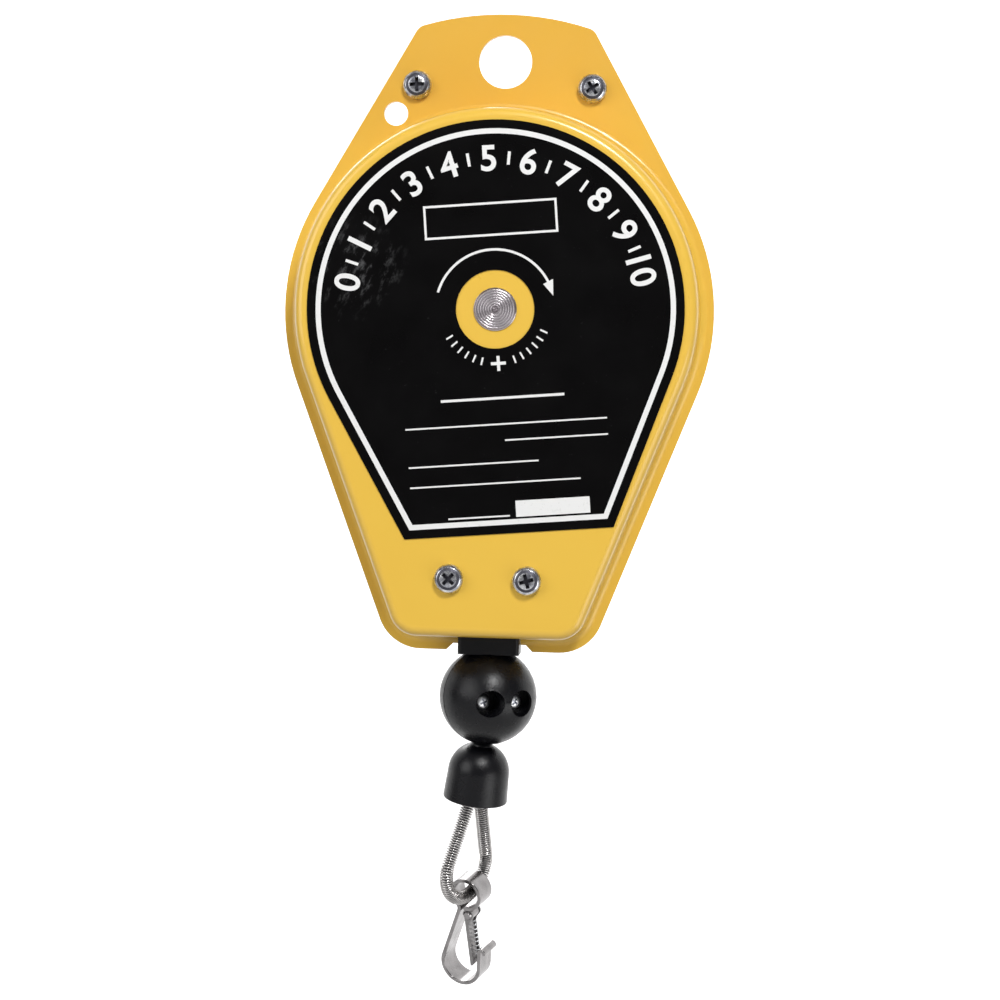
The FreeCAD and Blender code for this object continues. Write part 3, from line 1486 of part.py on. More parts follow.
def pawl_spring():
    """The torsion spring: a coil on the pin, one leg over the pawl, one leg on the shell."""
    wire = s.pawl_wire.value
    ring = s.pawl_pin_radius.value + 0.4 + wire
    x, z = pawl_x.value, pawl_z.value
    middle = coil_middle.value
    height = s.pawl_coil.value
    start = Vector(x, middle - height / 2, z)
    coil = Part.makeCylinder(ring + wire, height, start, Vector(0, 1, 0))
    bore = Part.makeCylinder(ring - wire, height, start, Vector(0, 1, 0))
    rim = s.ratchet_radius.value + 3 + s.plate_gap.value * 2
    over = x * 0.55
    edge = rim + (z + s.pawl_boss_radius.value - rim) * (over - x * 0.35) / (x * 0.65) + wire + 0.15
    front = wheel_front.value + 0.5
    upper = [Vector(over, front, edge), Vector(over, middle, edge), Vector(x, middle, z + ring)]
    shell_face = s.shell_depth.value
    foot = Vector(x - 6, middle, z - 6.5)
    lower = [Vector(x, middle, z - ring), foot, Vector(foot.x, shell_face, foot.z)]
    legs = [tube(bent_path(leg, [1.0]), wire) for leg in (upper, lower)]
    spring = coil.fuse(legs).cut(bore)
    new_feature("pawl_spring", spring, Placement(Vector(0, 0, -s.shaft_drop.value), Rotation()))


# ---------------------------------------------------------------- build and write

shell("front_cover", True)
shell("rear_cover", False)
label_plate()
mirrored_screws("top_screws", s.top_screw_side, s.top_screw_drop, -s.sheet_wall, s.sheet_wall)
hex_nuts("top_nuts", s.top_screw_side, s.top_screw_drop, s.sheet_wall)
bottom_row = s.shaft_drop + s.bottom_screw_drop
mirrored_screws("bottom_screws", s.bottom_screw_side, bottom_row, -s.shell_depth, s.shell_depth)
hex_nuts("bottom_nuts", s.bottom_screw_side, bottom_row, s.shell_depth)
spacer_tubes()
rope_guide()
arbor()
rope_drum()
drum_cover()
drum_cover_screws()
bushes()
drum_circlip()
ratchet_wheel()
arbor_nut()
mainspring()
rope_wound()
ropes()
rope_anchor()
ball_half("ball_front", True)
ball_half("ball_rear", False)
ball_fasteners()
rope_cap()
rope_ferrule()
loop_and_guard()
hook_strip()
hook_gate()
gate_rivet()
gate_spring()
pawl()
pawl_pin()
pawl_spring()
doc.recompute()

problems = [item.Label for item in doc.Objects if {"Invalid", "Error"} & set(item.State)]
for part in MADE:
    if part.Shape.isNull() or not part.Shape.isValid():
        problems.append(f"{part.Label} has no valid shape")
if problems:
    raise RuntimeError("; ".join(problems))
for part in MADE:
    part.Shape.exportStep(f"parts/{part.Label}.step")
    print(f"{part.Label}: {len(part.Shape.Solids)} solids, {part.Shape.Volume:.1f} mm3")
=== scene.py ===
import json
import math
import bmesh
import bpy
from mathutils import Matrix, Vector


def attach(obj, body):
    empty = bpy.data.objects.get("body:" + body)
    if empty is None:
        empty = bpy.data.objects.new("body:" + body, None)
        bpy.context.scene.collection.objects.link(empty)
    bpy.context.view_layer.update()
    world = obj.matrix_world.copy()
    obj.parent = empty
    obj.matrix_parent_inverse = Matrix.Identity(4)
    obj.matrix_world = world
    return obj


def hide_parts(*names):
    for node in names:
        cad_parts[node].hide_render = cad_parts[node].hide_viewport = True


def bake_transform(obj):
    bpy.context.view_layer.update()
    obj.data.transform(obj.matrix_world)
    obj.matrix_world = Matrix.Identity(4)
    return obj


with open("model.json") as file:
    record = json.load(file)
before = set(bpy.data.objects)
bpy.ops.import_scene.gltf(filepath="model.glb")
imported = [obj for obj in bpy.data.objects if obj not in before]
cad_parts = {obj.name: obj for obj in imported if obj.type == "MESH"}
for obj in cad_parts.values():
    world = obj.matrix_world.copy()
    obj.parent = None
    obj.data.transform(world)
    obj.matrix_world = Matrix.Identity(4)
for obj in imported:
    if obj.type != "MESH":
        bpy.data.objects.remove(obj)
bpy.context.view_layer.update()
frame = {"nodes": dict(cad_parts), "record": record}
mm = 0.001
mergeMesh, mergePrint = mm / 1000, mm / 5000      # corners nearer than this become one
joints = {joint["name"]: joint for joint in frame["record"]["behaviour"]["joints"]}


# camera

camera = {
    "azimuth": 3.2,       # degrees to the right of straight on
    "elevation": 1.5,     # degrees above level
    "roll": 1.6,          # degrees, the object's top leans right
    "distance": 863,      # mm
    "target": (2.0, 0, -136.9),
    "lens": 98.9,
    "sensor": 36,
}


def placeCamera():
    azimuth, elevation = math.radians(camera["azimuth"]), math.radians(camera["elevation"])
    away = Vector((math.sin(azimuth), -math.cos(azimuth), 0)) * math.cos(elevation)
    away.z = math.sin(elevation)
    data = bpy.data.cameras.new("camera")
    data.lens = camera["lens"]
    data.sensor_width = camera["sensor"]
    holder = bpy.data.objects.new("camera", data)
    bpy.context.scene.collection.objects.link(holder)
    look = (-away).to_track_quat("-Z", "Y").to_matrix().to_4x4()
    roll = Matrix.Rotation(math.radians(camera["roll"]), 4, "Z")
    place = Matrix.Translation((Vector(camera["target"]) + away * camera["distance"]) * mm)
    holder.matrix_world = place @ look @ roll
    bpy.context.scene.camera = holder


placeCamera()
print("camera placed")


# places, in mm and degrees, as the CAD model has them

def move(x, y, z):
    return Matrix.Translation(Vector((x, y, z)) * mm)


def turn(degrees, axis):
    return Matrix.Rotation(math.radians(degrees), 4, axis)


shaft = {"drop": 78.0}
ball = {"drop": 198.7, "radius": 15.3, "turn": 28.0}
lean = {"tilt": 10.4, "heading": 125.7, "loopTurn": 56.4}     # what hangs under the ball
hook = {"turn": -24.5, "tip": 13.0, "lie": 1.0, "rivet": (0.6, 0, -7.8), "gateTurn": 9.4}

heading = math.radians(lean["heading"])
leanTurn = turn(lean["tilt"], Vector((math.sin(heading), -math.cos(heading), 0)))
underBall = move(0, 0, -ball["drop"]) @ leanTurn @ move(0, 0, -ball["radius"])
loopPlace = underBall @ turn(lean["loopTurn"], "Z")
eyeCentre = Vector(joints["hook_swing"]["pos_m"])
hookTurn = leanTurn @ turn(hook["turn"], "Z") @ turn(hook["tip"], "X") @ turn(hook["lie"], "Y")
hookPlace = Matrix.Translation(eyeCentre) @ hookTurn
gatePlace = hookPlace @ move(*hook["rivet"]) @ turn(hook["gateTurn"], Vector((0, -1, 0)))
faceFront = turn(90, "X")      # local Z comes to point forwards
faceRear = turn(-90, "X")


# working with pieces

def deselectAll():
    if bpy.context.object and bpy.context.object.mode != "OBJECT":
        bpy.ops.object.mode_set(mode="OBJECT")
    bpy.ops.object.select_all(action="DESELECT")


def choose(*pieces):
    deselectAll()
    for piece in pieces:
        piece.select_set(True)
    bpy.context.view_layer.objects.active = pieces[0]


def openMesh(piece):
    choose(piece)
    bpy.ops.object.mode_set(mode="EDIT")
    bpy.ops.mesh.select_all(action="SELECT")


def closeMesh():
    bpy.ops.mesh.select_all(action="SELECT")
    bpy.ops.mesh.normals_make_consistent(inside=False)
    bpy.ops.object.mode_set(mode="OBJECT")


def selectFaces(piece, test):
    # called in edit mode; test takes a face
    mesh = bmesh.from_edit_mesh(piece.data)
    for face in mesh.faces:
        face.select_set(test(face))
    mesh.select_flush_mode()
    bmesh.update_edit_mesh(piece.data)


def bakePlace(piece):
    choose(piece)
    bpy.ops.object.transform_apply(location=True, rotation=True, scale=True)


def applyModifier(piece, kind, **settings):
    modifier = piece.modifiers.new(kind.lower(), kind)
    for name, value in settings.items():
        setattr(modifier, name, value)
    choose(piece)
    bpy.ops.object.modifier_apply(modifier=modifier.name)


def cut(piece, cutter, operation="DIFFERENCE"):
    applyModifier(piece, "BOOLEAN", object=cutter, operation=operation, solver="EXACT")
    bpy.data.objects.remove(cutter)


def joinAll(pieces):
    choose(*pieces)
    if len(pieces) > 1:
        bpy.ops.object.join()
    return bpy.context.object


def copyTo(piece, name, place):
    copied = piece.copy()
    copied.data = piece.data.copy()
    copied.name = name
    bpy.context.scene.collection.objects.link(copied)
    copied.data.transform(place)
    copied.data.update()
    return copied


def discard(piece):
    bpy.data.objects.remove(piece)


def finish(piece, body, material, nodes=(), smooth=35):
    choose(piece)
    if smooth:
        bpy.ops.object.shade_smooth_by_angle(angle=math.radians(smooth))
    for coat in material if isinstance(material, tuple) else (material,):
        piece.data.materials.append(coat)
    if body:
        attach(piece, body)
    if nodes:
        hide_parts(*nodes)


def turned(name, rings, steps=48):
    # a turned solid along Z; rings are (radius, height) in mm, from one end to the other
    radius, height = rings[0]
    deselectAll()
    bpy.ops.mesh.primitive_circle_add(
        vertices=steps, radius=radius * mm, fill_type="NGON", location=(0, 0, height * mm)
    )
    piece = bpy.context.object
    piece.name = name
    bakePlace(piece)
    openMesh(piece)
    for nextRadius, nextHeight in rings[1:]:
        rise = {"value": (0, 0, (nextHeight - height) * mm)}
        bpy.ops.mesh.extrude_region_move(TRANSFORM_OT_translate=rise)
        grow = nextRadius / radius
        if grow != 1:
            bpy.ops.transform.resize(value=(grow, grow, 1), center_override=(0, 0, nextHeight * mm))
        radius, height = nextRadius, nextHeight
    closeMesh()
    return piece


# material building blocks

def addNode(material, kind, inputs=None, **settings):
    tree = material.node_tree
    node = tree.nodes.new("ShaderNode" + kind)
    for name, value in settings.items():
        setattr(node, name, value)
    for name, value in (inputs or {}).items():
        if isinstance(value, bpy.types.NodeSocket):
            tree.links.new(value, node.inputs[name])
        else:
            node.inputs[name].default_value = value
    return node


def shaderOf(material):
    return material.node_tree.nodes["Principled BSDF"]


def newMaterial(name, color, roughness, metallic=0.0, **sockets):
    material = bpy.data.materials.new(name)
    material.use_nodes = True
    shader = shaderOf(material)
    shader.inputs["Base Color"].default_value = (*color, 1)
    shader.inputs["Roughness"].default_value = roughness
    shader.inputs["Metallic"].default_value = metallic
    for socket, value in sockets.items():
        shader.inputs[socket].default_value = value
    return material


def drive(material, socket, value):
    material.node_tree.links.new(value, shaderOf(material).inputs[socket])


def position(material, centre=(0, 0, 0), stretch=(1, 1, 1), tilt=(0, 0, 0)):
    # Object coordinates measured from a centre in mm; a larger stretch draws a pattern out
    where = addNode(material, "TexCoord").outputs["Object"]
    inputs = {
        "Vector": where,
        "Location": [c * mm for c in centre],
        "Rotation": [math.radians(a) for a in tilt],
        "Scale": stretch,
    }
    return addNode(material, "Mapping", inputs, vector_type="TEXTURE").outputs["Vector"]


def noise(material, size, where=None, detail=3.0, rough=0.5):
    # size of the blotches in mm
    where = where or position(material)
    inputs = {"Vector": where, "Scale": 1 / (size * mm), "Detail": detail, "Roughness": rough}
    return addNode(material, "TexNoise", inputs).outputs["Fac"]


def rings(material, size, where, direction="Y", wobble=0.0):
    # rings of the given spacing in mm round an axis
    inputs = {"Vector": where, "Scale": math.tau / (20 * size * mm), "Distortion": wobble}
    node = addNode(material, "TexWave", inputs, wave_type="RINGS", rings_direction=direction)
    return node.outputs["Fac"]


def bands(material, size, where, direction="Z", wobble=0.0):
    inputs = {"Vector": where, "Scale": math.tau / (20 * size * mm), "Distortion": wobble}
    node = addNode(material, "TexWave", inputs, wave_type="BANDS", bands_direction=direction)
    return node.outputs["Fac"]


def axisOf(material, where, axis):
    return addNode(material, "SeparateXYZ", {"Vector": where}).outputs[axis]


def calculate(material, operation, first, second=0.0):
    node = addNode(material, "Math", operation=operation)
    for index, value in enumerate((first, second)):
        if isinstance(value, bpy.types.NodeSocket):
            material.node_tree.links.new(value, node.inputs[index])
        else:
            node.inputs[index].default_value = value
    return node.outputs[0]


def fit(material, value, low, high, fromLow=0.0, fromHigh=1.0):
    inputs = {
        "Value": value, "From Min": fromLow, "From Max": fromHigh, "To Min": low, "To Max": high,
    }
    return addNode(material, "MapRange", inputs).outputs["Result"]


def blendColors(material, value, first, second):
    node = addNode(material, "Mix", data_type="RGBA")
    for index, source in ((0, value), (6, first), (7, second)):
        if isinstance(source, bpy.types.NodeSocket):
            material.node_tree.links.new(source, node.inputs[index])
        else:
            node.inputs[index].default_value = (*source, 1)
    return node.outputs[2]


def bump(material, value, depth, strength=1.0):
    # bumps add up; depth is in mm
    normal = shaderOf(material).inputs["Normal"]
    inputs = {"Height": value, "Distance": depth * mm, "Strength": strength}
    if normal.links:
        inputs["Normal"] = normal.links[0].from_socket
    drive(material, "Normal", addNode(material, "Bump", inputs).outputs["Normal"])


# finishes

finishes = {
    "face": (0.87, 0.545, 0.068),
    "ear": (0.79, 0.44, 0.05),         # a deeper tone towards the top
    "black": (0.0012, 0.001, 0.0012),
    "scuff": (0.07, 0.07, 0.072),
    "white": (0.86, 0.86, 0.85),
    "plastic": (0.0035, 0.0035, 0.005),
    "plasticWorn": (0.012, 0.012, 0.014),
}


tint = {"foot": -52, "top": -4, "flange": 3, "face": 15}      # where the ear's deeper tone comes in


def makeHousingPaint():
    coat = {"Coat Weight": 0.45, "Coat Roughness": 0.12}
    paint = newMaterial("housingPaint", finishes["face"], 0.3, **coat)
    height = fit(paint, axisOf(paint, position(paint), "Z"), 0, 1, tint["foot"] * mm, tint["top"] * mm)
    depth = calculate(paint, "ABSOLUTE", axisOf(paint, position(paint), "Y"))
    flat = fit(paint, depth, 1, 0.1, tint["flange"] * mm, tint["face"] * mm)
    deeper = calculate(paint, "MULTIPLY", height, flat)
    cloudy = fit(paint, noise(paint, 30, detail=2), -0.07, 0.07, 0.3, 0.7)
    mixed = calculate(paint, "MAXIMUM", calculate(paint, "ADD", deeper, cloudy), 0.0)
    drive(paint, "Base Color", blendColors(paint, mixed, finishes["face"], finishes["ear"]))
    drive(paint, "Roughness", fit(paint, noise(paint, 9, detail=2), 0.27, 0.36, 0.2, 0.8))
    bump(paint, noise(paint, 1.6, detail=2), 0.012)
    bump(paint, noise(paint, 7.0, detail=0), 0.02)
    return paint


scuff = {"centre": (-43, -20.3, -66), "reach": 17}


def makeLabelBlack():
    black = newMaterial("labelBlack", finishes["black"], 0.28, **{"Specular IOR Level": 0.12})
    fromScuff = position(black, centre=scuff["centre"], stretch=(scuff["reach"] * mm,) * 3)
    reach = addNode(black, "VectorMath", {0: fromScuff}, operation="LENGTH").outputs["Value"]
    near = fit(black, reach, 1, 0, 0.2, 1.0)
    strokes = noise(black, 2.2, position(black, stretch=(1, 1, 2.4), tilt=(0, 24, 0)), 6, 0.72)
    worn = calculate(black, "MULTIPLY", fit(black, strokes, 0, 1, 0.53, 0.66), near)
    specks = fit(black, noise(black, 0.9, detail=2), 0, 1, 0.74, 0.8)
    marks = calculate(black, "MAXIMUM", worn, calculate(black, "MULTIPLY", specks, 0.25))
    drive(black, "Base Color", blendColors(black, marks, finishes["black"], finishes["scuff"]))
    base = fit(black, noise(black, 12, detail=4), 0.26, 0.36, 0.3, 0.7)
    drive(black, "Roughness", calculate(black, "ADD", base, calculate(black, "MULTIPLY", marks, 0.3)))
    bump(black, noise(black, 3.0, detail=2), 0.004)
    return black


def makeLabelWhite():
    white = newMaterial("labelWhite", finishes["white"], 0.35)
    dirt = fit(white, noise(white, 1.1, detail=5, rough=0.65), 0, 0.5, 0.60, 0.74)
    drive(white, "Base Color", blendColors(white, dirt, finishes["white"], (0.45, 0.44, 0.42)))
    drive(white, "Roughness", fit(white, noise(white, 5), 0.3, 0.45))
    return white


def makePlastic(name, grain, depth, roughness):
    plastic = newMaterial(name, finishes["plastic"], roughness, **{"Specular IOR Level": 0.3})
    drive(plastic, "Roughness", fit(plastic, noise(plastic, 6, detail=4), roughness - 0.06,
                                    roughness + 0.08, 0.3, 0.7))
    pale = fit(plastic, noise(plastic, 2.2, detail=5, rough=0.7), 0, 0.35, 0.55, 0.8)
    drive(plastic, "Base Color", blendColors(plastic, pale, finishes["plastic"], finishes["plasticWorn"]))
    bump(plastic, noise(plastic, grain, detail=2, rough=0.6), depth)
    return plastic


def makeZinc():
    zinc = newMaterial("zincPlate", (0.72, 0.73, 0.75), 0.24, 1.0)
    blotches = noise(zinc, 1.7, detail=4, rough=0.6)
    tone = blendColors(zinc, fit(zinc, blotches, 0, 1, 0.35, 0.65), (0.30, 0.31, 0.37), (0.80, 0.81, 0.83))
    drive(zinc, "Base Color", tone)
    drive(zinc, "Roughness", fit(zinc, noise(zinc, 0.8, detail=3), 0.14, 0.36, 0.3, 0.7))
    bump(zinc, noise(zinc, 0.9, detail=2), 0.02)
    return zinc


def makeTurnedSteel():
    steel = newMaterial("turnedSteel", (0.50, 0.47, 0.49), 0.28, 1.0, **{"Anisotropic": 0.5})
    middle = position(steel, centre=(0, 0, -shaft["drop"]))
    grooves = rings(steel, 0.78, middle, wobble=0.15)
    drive(steel, "Base Color", blendColors(steel, fit(steel, grooves, 0, 1, 0.15, 0.85),
                                           (0.36, 0.32, 0.345), (0.58, 0.54, 0.56)))
    drive(steel, "Roughness", fit(steel, rings(steel, 0.11, middle, wobble=0.4), 0.22, 0.38))
    bump(steel, grooves, 0.06)
    bump(steel, rings(steel, 0.13, middle, wobble=0.5), 0.006)
    return steel


def makeBrightSteel(name, color, roughness):
    steel = newMaterial(name, color, roughness, 1.0)
    lines = noise(steel, 0.5, position(steel, stretch=(1, 1, 14), tilt=(4, 18, 0)), 4, 0.6)
    cloudy = noise(steel, 3.5, detail=4)
    drive(steel, "Roughness", fit(steel, lines, roughness - 0.08, roughness + 0.12, 0.3, 0.7))
    shade = tuple(0.72 * c for c in color)
    drive(steel, "Base Color", blendColors(steel, fit(steel, cloudy, 0, 1, 0.3, 0.7), shade, color))
    bump(steel, lines, 0.005)
    return steel


def makeRopeSteel():
    # galvanised wires, their colour painted dark as the shade the rope lies in inside the guard coil; on a
    # straight or bent CAD rope the bands stand for its strands
    steel = newMaterial("ropeSteelPaintedShade", (0.14, 0.14, 0.15), 0.45, 0.9)
    wires = bands(steel, 0.55, position(steel, tilt=(38, 0, 0)), "Z")
    # painted shade: the wire colour runs only from 0.05 to 0.17, darker than bare galvanised wire, for the
    # rope lying in shade
    drive(steel, "Base Color", blendColors(steel, fit(steel, noise(steel, 1.5), 0, 1, 0.3, 0.7),
                                           (0.05, 0.05, 0.055), (0.17, 0.17, 0.18)))
    drive(steel, "Roughness", fit(steel, noise(steel, 2.0), 0.3, 0.5))
    bump(steel, wires, 0.08)
    return steel


def makeCast(name, color, roughness, metallic, grain, depth):
    # plain workshop finishes of the inner parts
    cast = newMaterial(name, color, roughness, metallic)
    shade = tuple(0.7 * c for c in color)
    drive(cast, "Base Color", blendColors(cast, fit(cast, noise(cast, grain * 6, detail=4), 0, 1, 0.3, 0.7),
                                          shade, color))
    drive(cast, "Roughness", fit(cast, noise(cast, grain * 3), roughness - 0.06, roughness + 0.1))
    bump(cast, noise(cast, grain, detail=3), depth)
    return cast


housingPaint = makeHousingPaint()
labelBlack = makeLabelBlack()
labelWhite = makeLabelWhite()
ballPlastic = makePlastic("ballPlastic", 0.42, 0.07, 0.26)
guidePlastic = makePlastic("guidePlastic", 0.9, 0.02, 0.36)
zincPlate = makeZinc()
headZinc = makeCast("headZinc", (0.92, 0.93, 0.95), 0.3, 1.0, 0.5, 0.03)
stampedZinc = makeCast("stampedZinc", (0.62, 0.63, 0.66), 0.32, 1.0, 0.6, 0.012)
# dark zinc for the screws' cross recesses: partly dirt and passivation, partly painted shade in the recess
recessZincDirtAndShade = makeCast("recessZincDirtAndShade", (0.10, 0.10, 0.12), 0.45, 1.0, 0.4, 0.03)
turnedSteel = makeTurnedSteel()
hookSteel = makeBrightSteel("hookSteel", (0.38, 0.365, 0.365), 0.2)
gateSteel = makeBrightSteel("gateSteel", (0.34, 0.33, 0.33), 0.28)
coilSteel = makeBrightSteel("coilSteel", (0.56, 0.54, 0.53), 0.22)
ropeSteelPaintedShade = makeRopeSteel()
drumPlastic = makeCast("drumPlastic", (0.35, 0.36, 0.38), 0.5, 0.0, 0.8, 0.02)
bushBronze = makeCast("bushBronze", (0.62, 0.45, 0.24), 0.42, 1.0, 0.3, 0.02)
bluedSteel = makeCast("bluedSteel", (0.25, 0.28, 0.34), 0.34, 1.0, 1.2, 0.01)
ferruleMetal = makeCast("ferruleMetal", (0.66, 0.67, 0.68), 0.38, 1.0, 0.6, 0.03)
print("finishes made")

nodeFinishes = {
    "front_cover": housingPaint, "rear_cover": housingPaint, "label_plate": labelBlack,
    "rope_guide": guidePlastic, "ball_front": ballPlastic, "ball_rear": ballPlastic,
    "rope_cap": ballPlastic, "arbor": turnedSteel, "hook_strip": hookSteel, "gate_rivet": hookSteel,
    "hook_gate": gateSteel, "rope_ferrule": ferruleMetal, "rope_drum": drumPlastic,
    "drum_cover": drumPlastic, "front_bush": bushBronze, "rear_bush": bushBronze,
    "mainspring": bluedSteel, "pawl_spring": bluedSteel, "drum_circlip": bluedSteel,
    "spring_post": stampedZinc, "ratchet_wheel": stampedZinc, "pawl": stampedZinc, "pawl_pin": stampedZinc,
    "arbor_nut": stampedZinc, "spacer_tubes": stampedZinc, "drum_cover_screws": stampedZinc,
    "rope_wound": ropeSteelPaintedShade, "rope_inner": ropeSteelPaintedShade, "rope_tail": ropeSteelPaintedShade, "rope_loop": ropeSteelPaintedShade,
    "rope_anchor": ferruleMetal,
}
for name, material in nodeFinishes.items():
    node = frame["nodes"][name]
    node.data.materials.clear()
    node.data.materials.append(material)


# screws

screw = {
    "head": 4.5, "headHeight": 3.2, "shank": 2.5, "thread": 2.15, "pitch": 0.8, "tipThreads": 3,
    "recess": 3.15, "slot": 1.3, "recessDepth": 1.9,
    "topLength": 7.9,        # seat to tip
    "bottomLength": 45.5,
}


recessTaper = (0.45, 0.7, 1)       # the bottom of a recess against its top
threadShape = {"point": 0.85, "lead": 0.25, "rise": 0.3, "crest": 0.45, "fall": 0.8, "runOut": 0.3}
headShape = [                      # shares of the head's radius and height
    (0.985, 0), (1, 0.04), (1, 0.42), (0.975, 0.56), (0.9, 0.72), (0.77, 0.86), (0.58, 0.95), (0.3, 1),
]


def cutCross(piece, reach, width, depth, top):
    for angle in (0, 90):
        deselectAll()
        bpy.ops.mesh.primitive_cube_add(size=mm, location=(0, 0, top * mm))
        cutter = bpy.context.object
        bakePlace(cutter)
        openMesh(cutter)
        middle = (0, 0, top * mm)
        bpy.ops.transform.resize(value=(2 * reach, width, 2 * depth), center_override=middle)
        selectFaces(cutter, lambda face: face.normal.z < -0.9)
        bpy.ops.transform.resize(value=recessTaper, center_override=middle)
        closeMesh()
        cutter.data.transform(turn(angle, "Z"))
        cut(piece, cutter)


def panHead(name, size, length):
    # along Z, the head's seat at zero
    head, high, shank = size["head"], size["headHeight"], size["shank"]
    thread, pitch, shape = size["thread"], size["pitch"], threadShape
    profile = [(thread * shape["point"], -length), (thread, -length + shape["lead"])]
    for step in range(size["tipThreads"]):
        foot = -length + shape["lead"] + step * pitch
        profile += [(shank, foot + shape["rise"] * pitch), (shank, foot + shape["crest"] * pitch)]
        profile += [(thread, foot + shape["fall"] * pitch)]
    profile += [(shank, profile[-1][1] + shape["runOut"]), (shank, 0)]
    profile += [(head * wide, high * up) for wide, up in headShape]
    piece = turned(name, profile, 64)
    cutCross(piece, size["recess"], size["slot"], size["recessDepth"], high)
    # the recess faces get the dark zinc, partly dirt and partly painted shade in the recess
    for face in piece.data.polygons:       # the recess gets the second finish
        inner = face.center.to_2d().length < size["recess"] * 1.02 * mm
        if inner and 0.2 * high * mm < face.center.z < 0.93 * high * mm:
            face.material_index = 1
    return piece


topScrew = panHead("topScrew", screw, screw["topLength"])
bottomScrew = panHead("bottomScrew", screw, screw["bottomLength"])
screwPlaces = {
    "top_screw_left": (topScrew, "top_screws", (-27.4, -1.2, -7.8), 3),
    "top_screw_right": (topScrew, "top_screws", (27.4, -1.2, -7.8), 36),
    "bottom_screw_left": (bottomScrew, "bottom_screws", (-12, -20, -161), 47),
    "bottom_screw_right": (bottomScrew, "bottom_screws", (12, -20, -161), 16),
}
for name, (model, node, place, angle) in screwPlaces.items():
    piece = copyTo(model, name, move(*place) @ faceFront @ turn(angle, "Z"))
    finish(piece, "housing", (zincPlate, recessZincDirtAndShade), [node])
discard(topScrew)
discard(bottomScrew)

ballScrew = {
    "head": 2.6, "headHeight": 2.4, "shank": 1.5, "thread": 1.25, "pitch": 0.5, "tipThreads": 2,
    "recess": 1.6, "slot": 0.8, "recessDepth": 1.3, "length": 14.9,
    "side": 5.3, "drop": 1.1, "floor": 6.0,
}
ballPlace = move(0, 0, -ball["drop"] - ballScrew["drop"]) @ turn(ball["turn"], "Z")
smallScrew = panHead("smallScrew", ballScrew, ballScrew["length"])
for name, side, angle in (("ball_screw_left", -1, 20), ("ball_screw_right", 1, 55)):
    seat = move(side * ballScrew["side"], -ballScrew["floor"], 0)
    piece = copyTo(smallScrew, name, ballPlace @ seat @ faceFront @ turn(angle, "Z"))
    finish(piece, "rope_end", (headZinc, zincPlate), ["ball_screws"])
discard(smallScrew)
print("screws made")


# nuts

nut = {"flats": 8.0, "height": 4.0, "bore": 2.56}
ballNut = {"flats": 5.5, "height": 2.4, "bore": 1.55}
nutShape = {
    "chamfer": 30, "wide": 1.03, "narrow": 0.96, "past": 0.3,      # how the corners are turned off
    "edge": 0.12, "drillPast": 0.2,
}


def hexNut(name, size):
    # along Z from zero, bored, its corners turned off at both ends
    half, high = size["flats"] / 2, size["height"]
    corner = half / math.cos(math.radians(30))
    deselectAll()
    bpy.ops.mesh.primitive_cylinder_add(
        vertices=6, radius=corner * mm, depth=high * mm, location=(0, 0, high / 2 * mm)
    )
    piece = bpy.context.object
    piece.name = name
    bakePlace(piece)
    rise, past = math.tan(math.radians(nutShape["chamfer"])), nutShape["past"]
    wide, narrow = corner * nutShape["wide"], half * nutShape["narrow"] - past / rise
    slope = (wide - half * nutShape["narrow"]) * rise
    barrel = [(narrow, -past), (wide, slope), (wide, high - slope), (narrow, high + past)]
    cut(piece, turned("barrel", barrel), "INTERSECT")
    bore, edge, past = size["bore"], size["bore"] * nutShape["edge"], nutShape["drillPast"]
    mouth = bore + edge + past
    cut(piece, turned("drill", [(mouth, -past), (bore, edge), (bore, high - edge), (mouth, high + past)]))
    return piece


bigNut, smallNut = hexNut("bigNut", nut), hexNut("smallNut", ballNut)
nutPlaces = {
    "top_nut_left": ("top_nuts", (-27.4, 1.2, -7.8)),
    "top_nut_right": ("top_nuts", (27.4, 1.2, -7.8)),
    "bottom_nut_left": ("bottom_nuts", (-12, 20, -161)),
    "bottom_nut_right": ("bottom_nuts", (12, 20, -161)),
}
for name, (node, place) in nutPlaces.items():
    piece = copyTo(bigNut, name, move(*place) @ faceRear)
    finish(piece, "housing", stampedZinc, [node])
for name, side in (("ball_nut_left", -1), ("ball_nut_right", 1)):
    seat = move(side * ballScrew["side"], ballScrew["floor"], 0)
    piece = copyTo(smallNut, name, ballPlace @ seat @ faceRear)
    finish(piece, "rope_end", stampedZinc, ["ball_nuts"])
discard(bigNut)
discard(smallNut)
print("nuts made")


# the label's print, in the label's own plane: across, up, from the shaft

label = {
    "face": -20.3, "turn": 5.1, "radius": 58.0, "angle": 24.7, "drop": 68.8,
    "thickness": 0.03, "lift": 0.004,
    "borderInset": 2.7, "borderWidth": 1.6,
}
labelFront = move(0, label["face"] - 0.5 * label["thickness"] - label["lift"], -shaft["drop"])
labelPlace = labelFront @ faceFront @ turn(label["turn"], "Z")


def printed(name, loops, thickness=label["thickness"]):
    # closed loops of points in mm; a loop inside another is a hole
    data = bpy.data.curves.new(name, "CURVE")
    data.dimensions = "2D"
    data.fill_mode = "BOTH"
    data.extrude = thickness / 2 * mm
    for loop in loops:
        spline = data.splines.new("POLY")
        spline.points.add(len(loop) - 1)
        for point, (across, up) in zip(spline.points, loop):
            point.co = (across * mm, up * mm, 0, 1)
        spline.use_cyclic_u = True
    piece = bpy.data.objects.new(name, data)
    bpy.context.scene.collection.objects.link(piece)
    choose(piece)
    bpy.ops.object.convert(target="MESH")
    return bpy.context.object


def layPrint(piece):
    openMesh(piece)
    bpy.ops.mesh.remove_doubles(threshold=mergePrint)
    bpy.ops.mesh.fill_holes(sides=0)
    closeMesh()
    piece.data.transform(labelPlace)
    finish(piece, "housing", labelWhite, smooth=0)


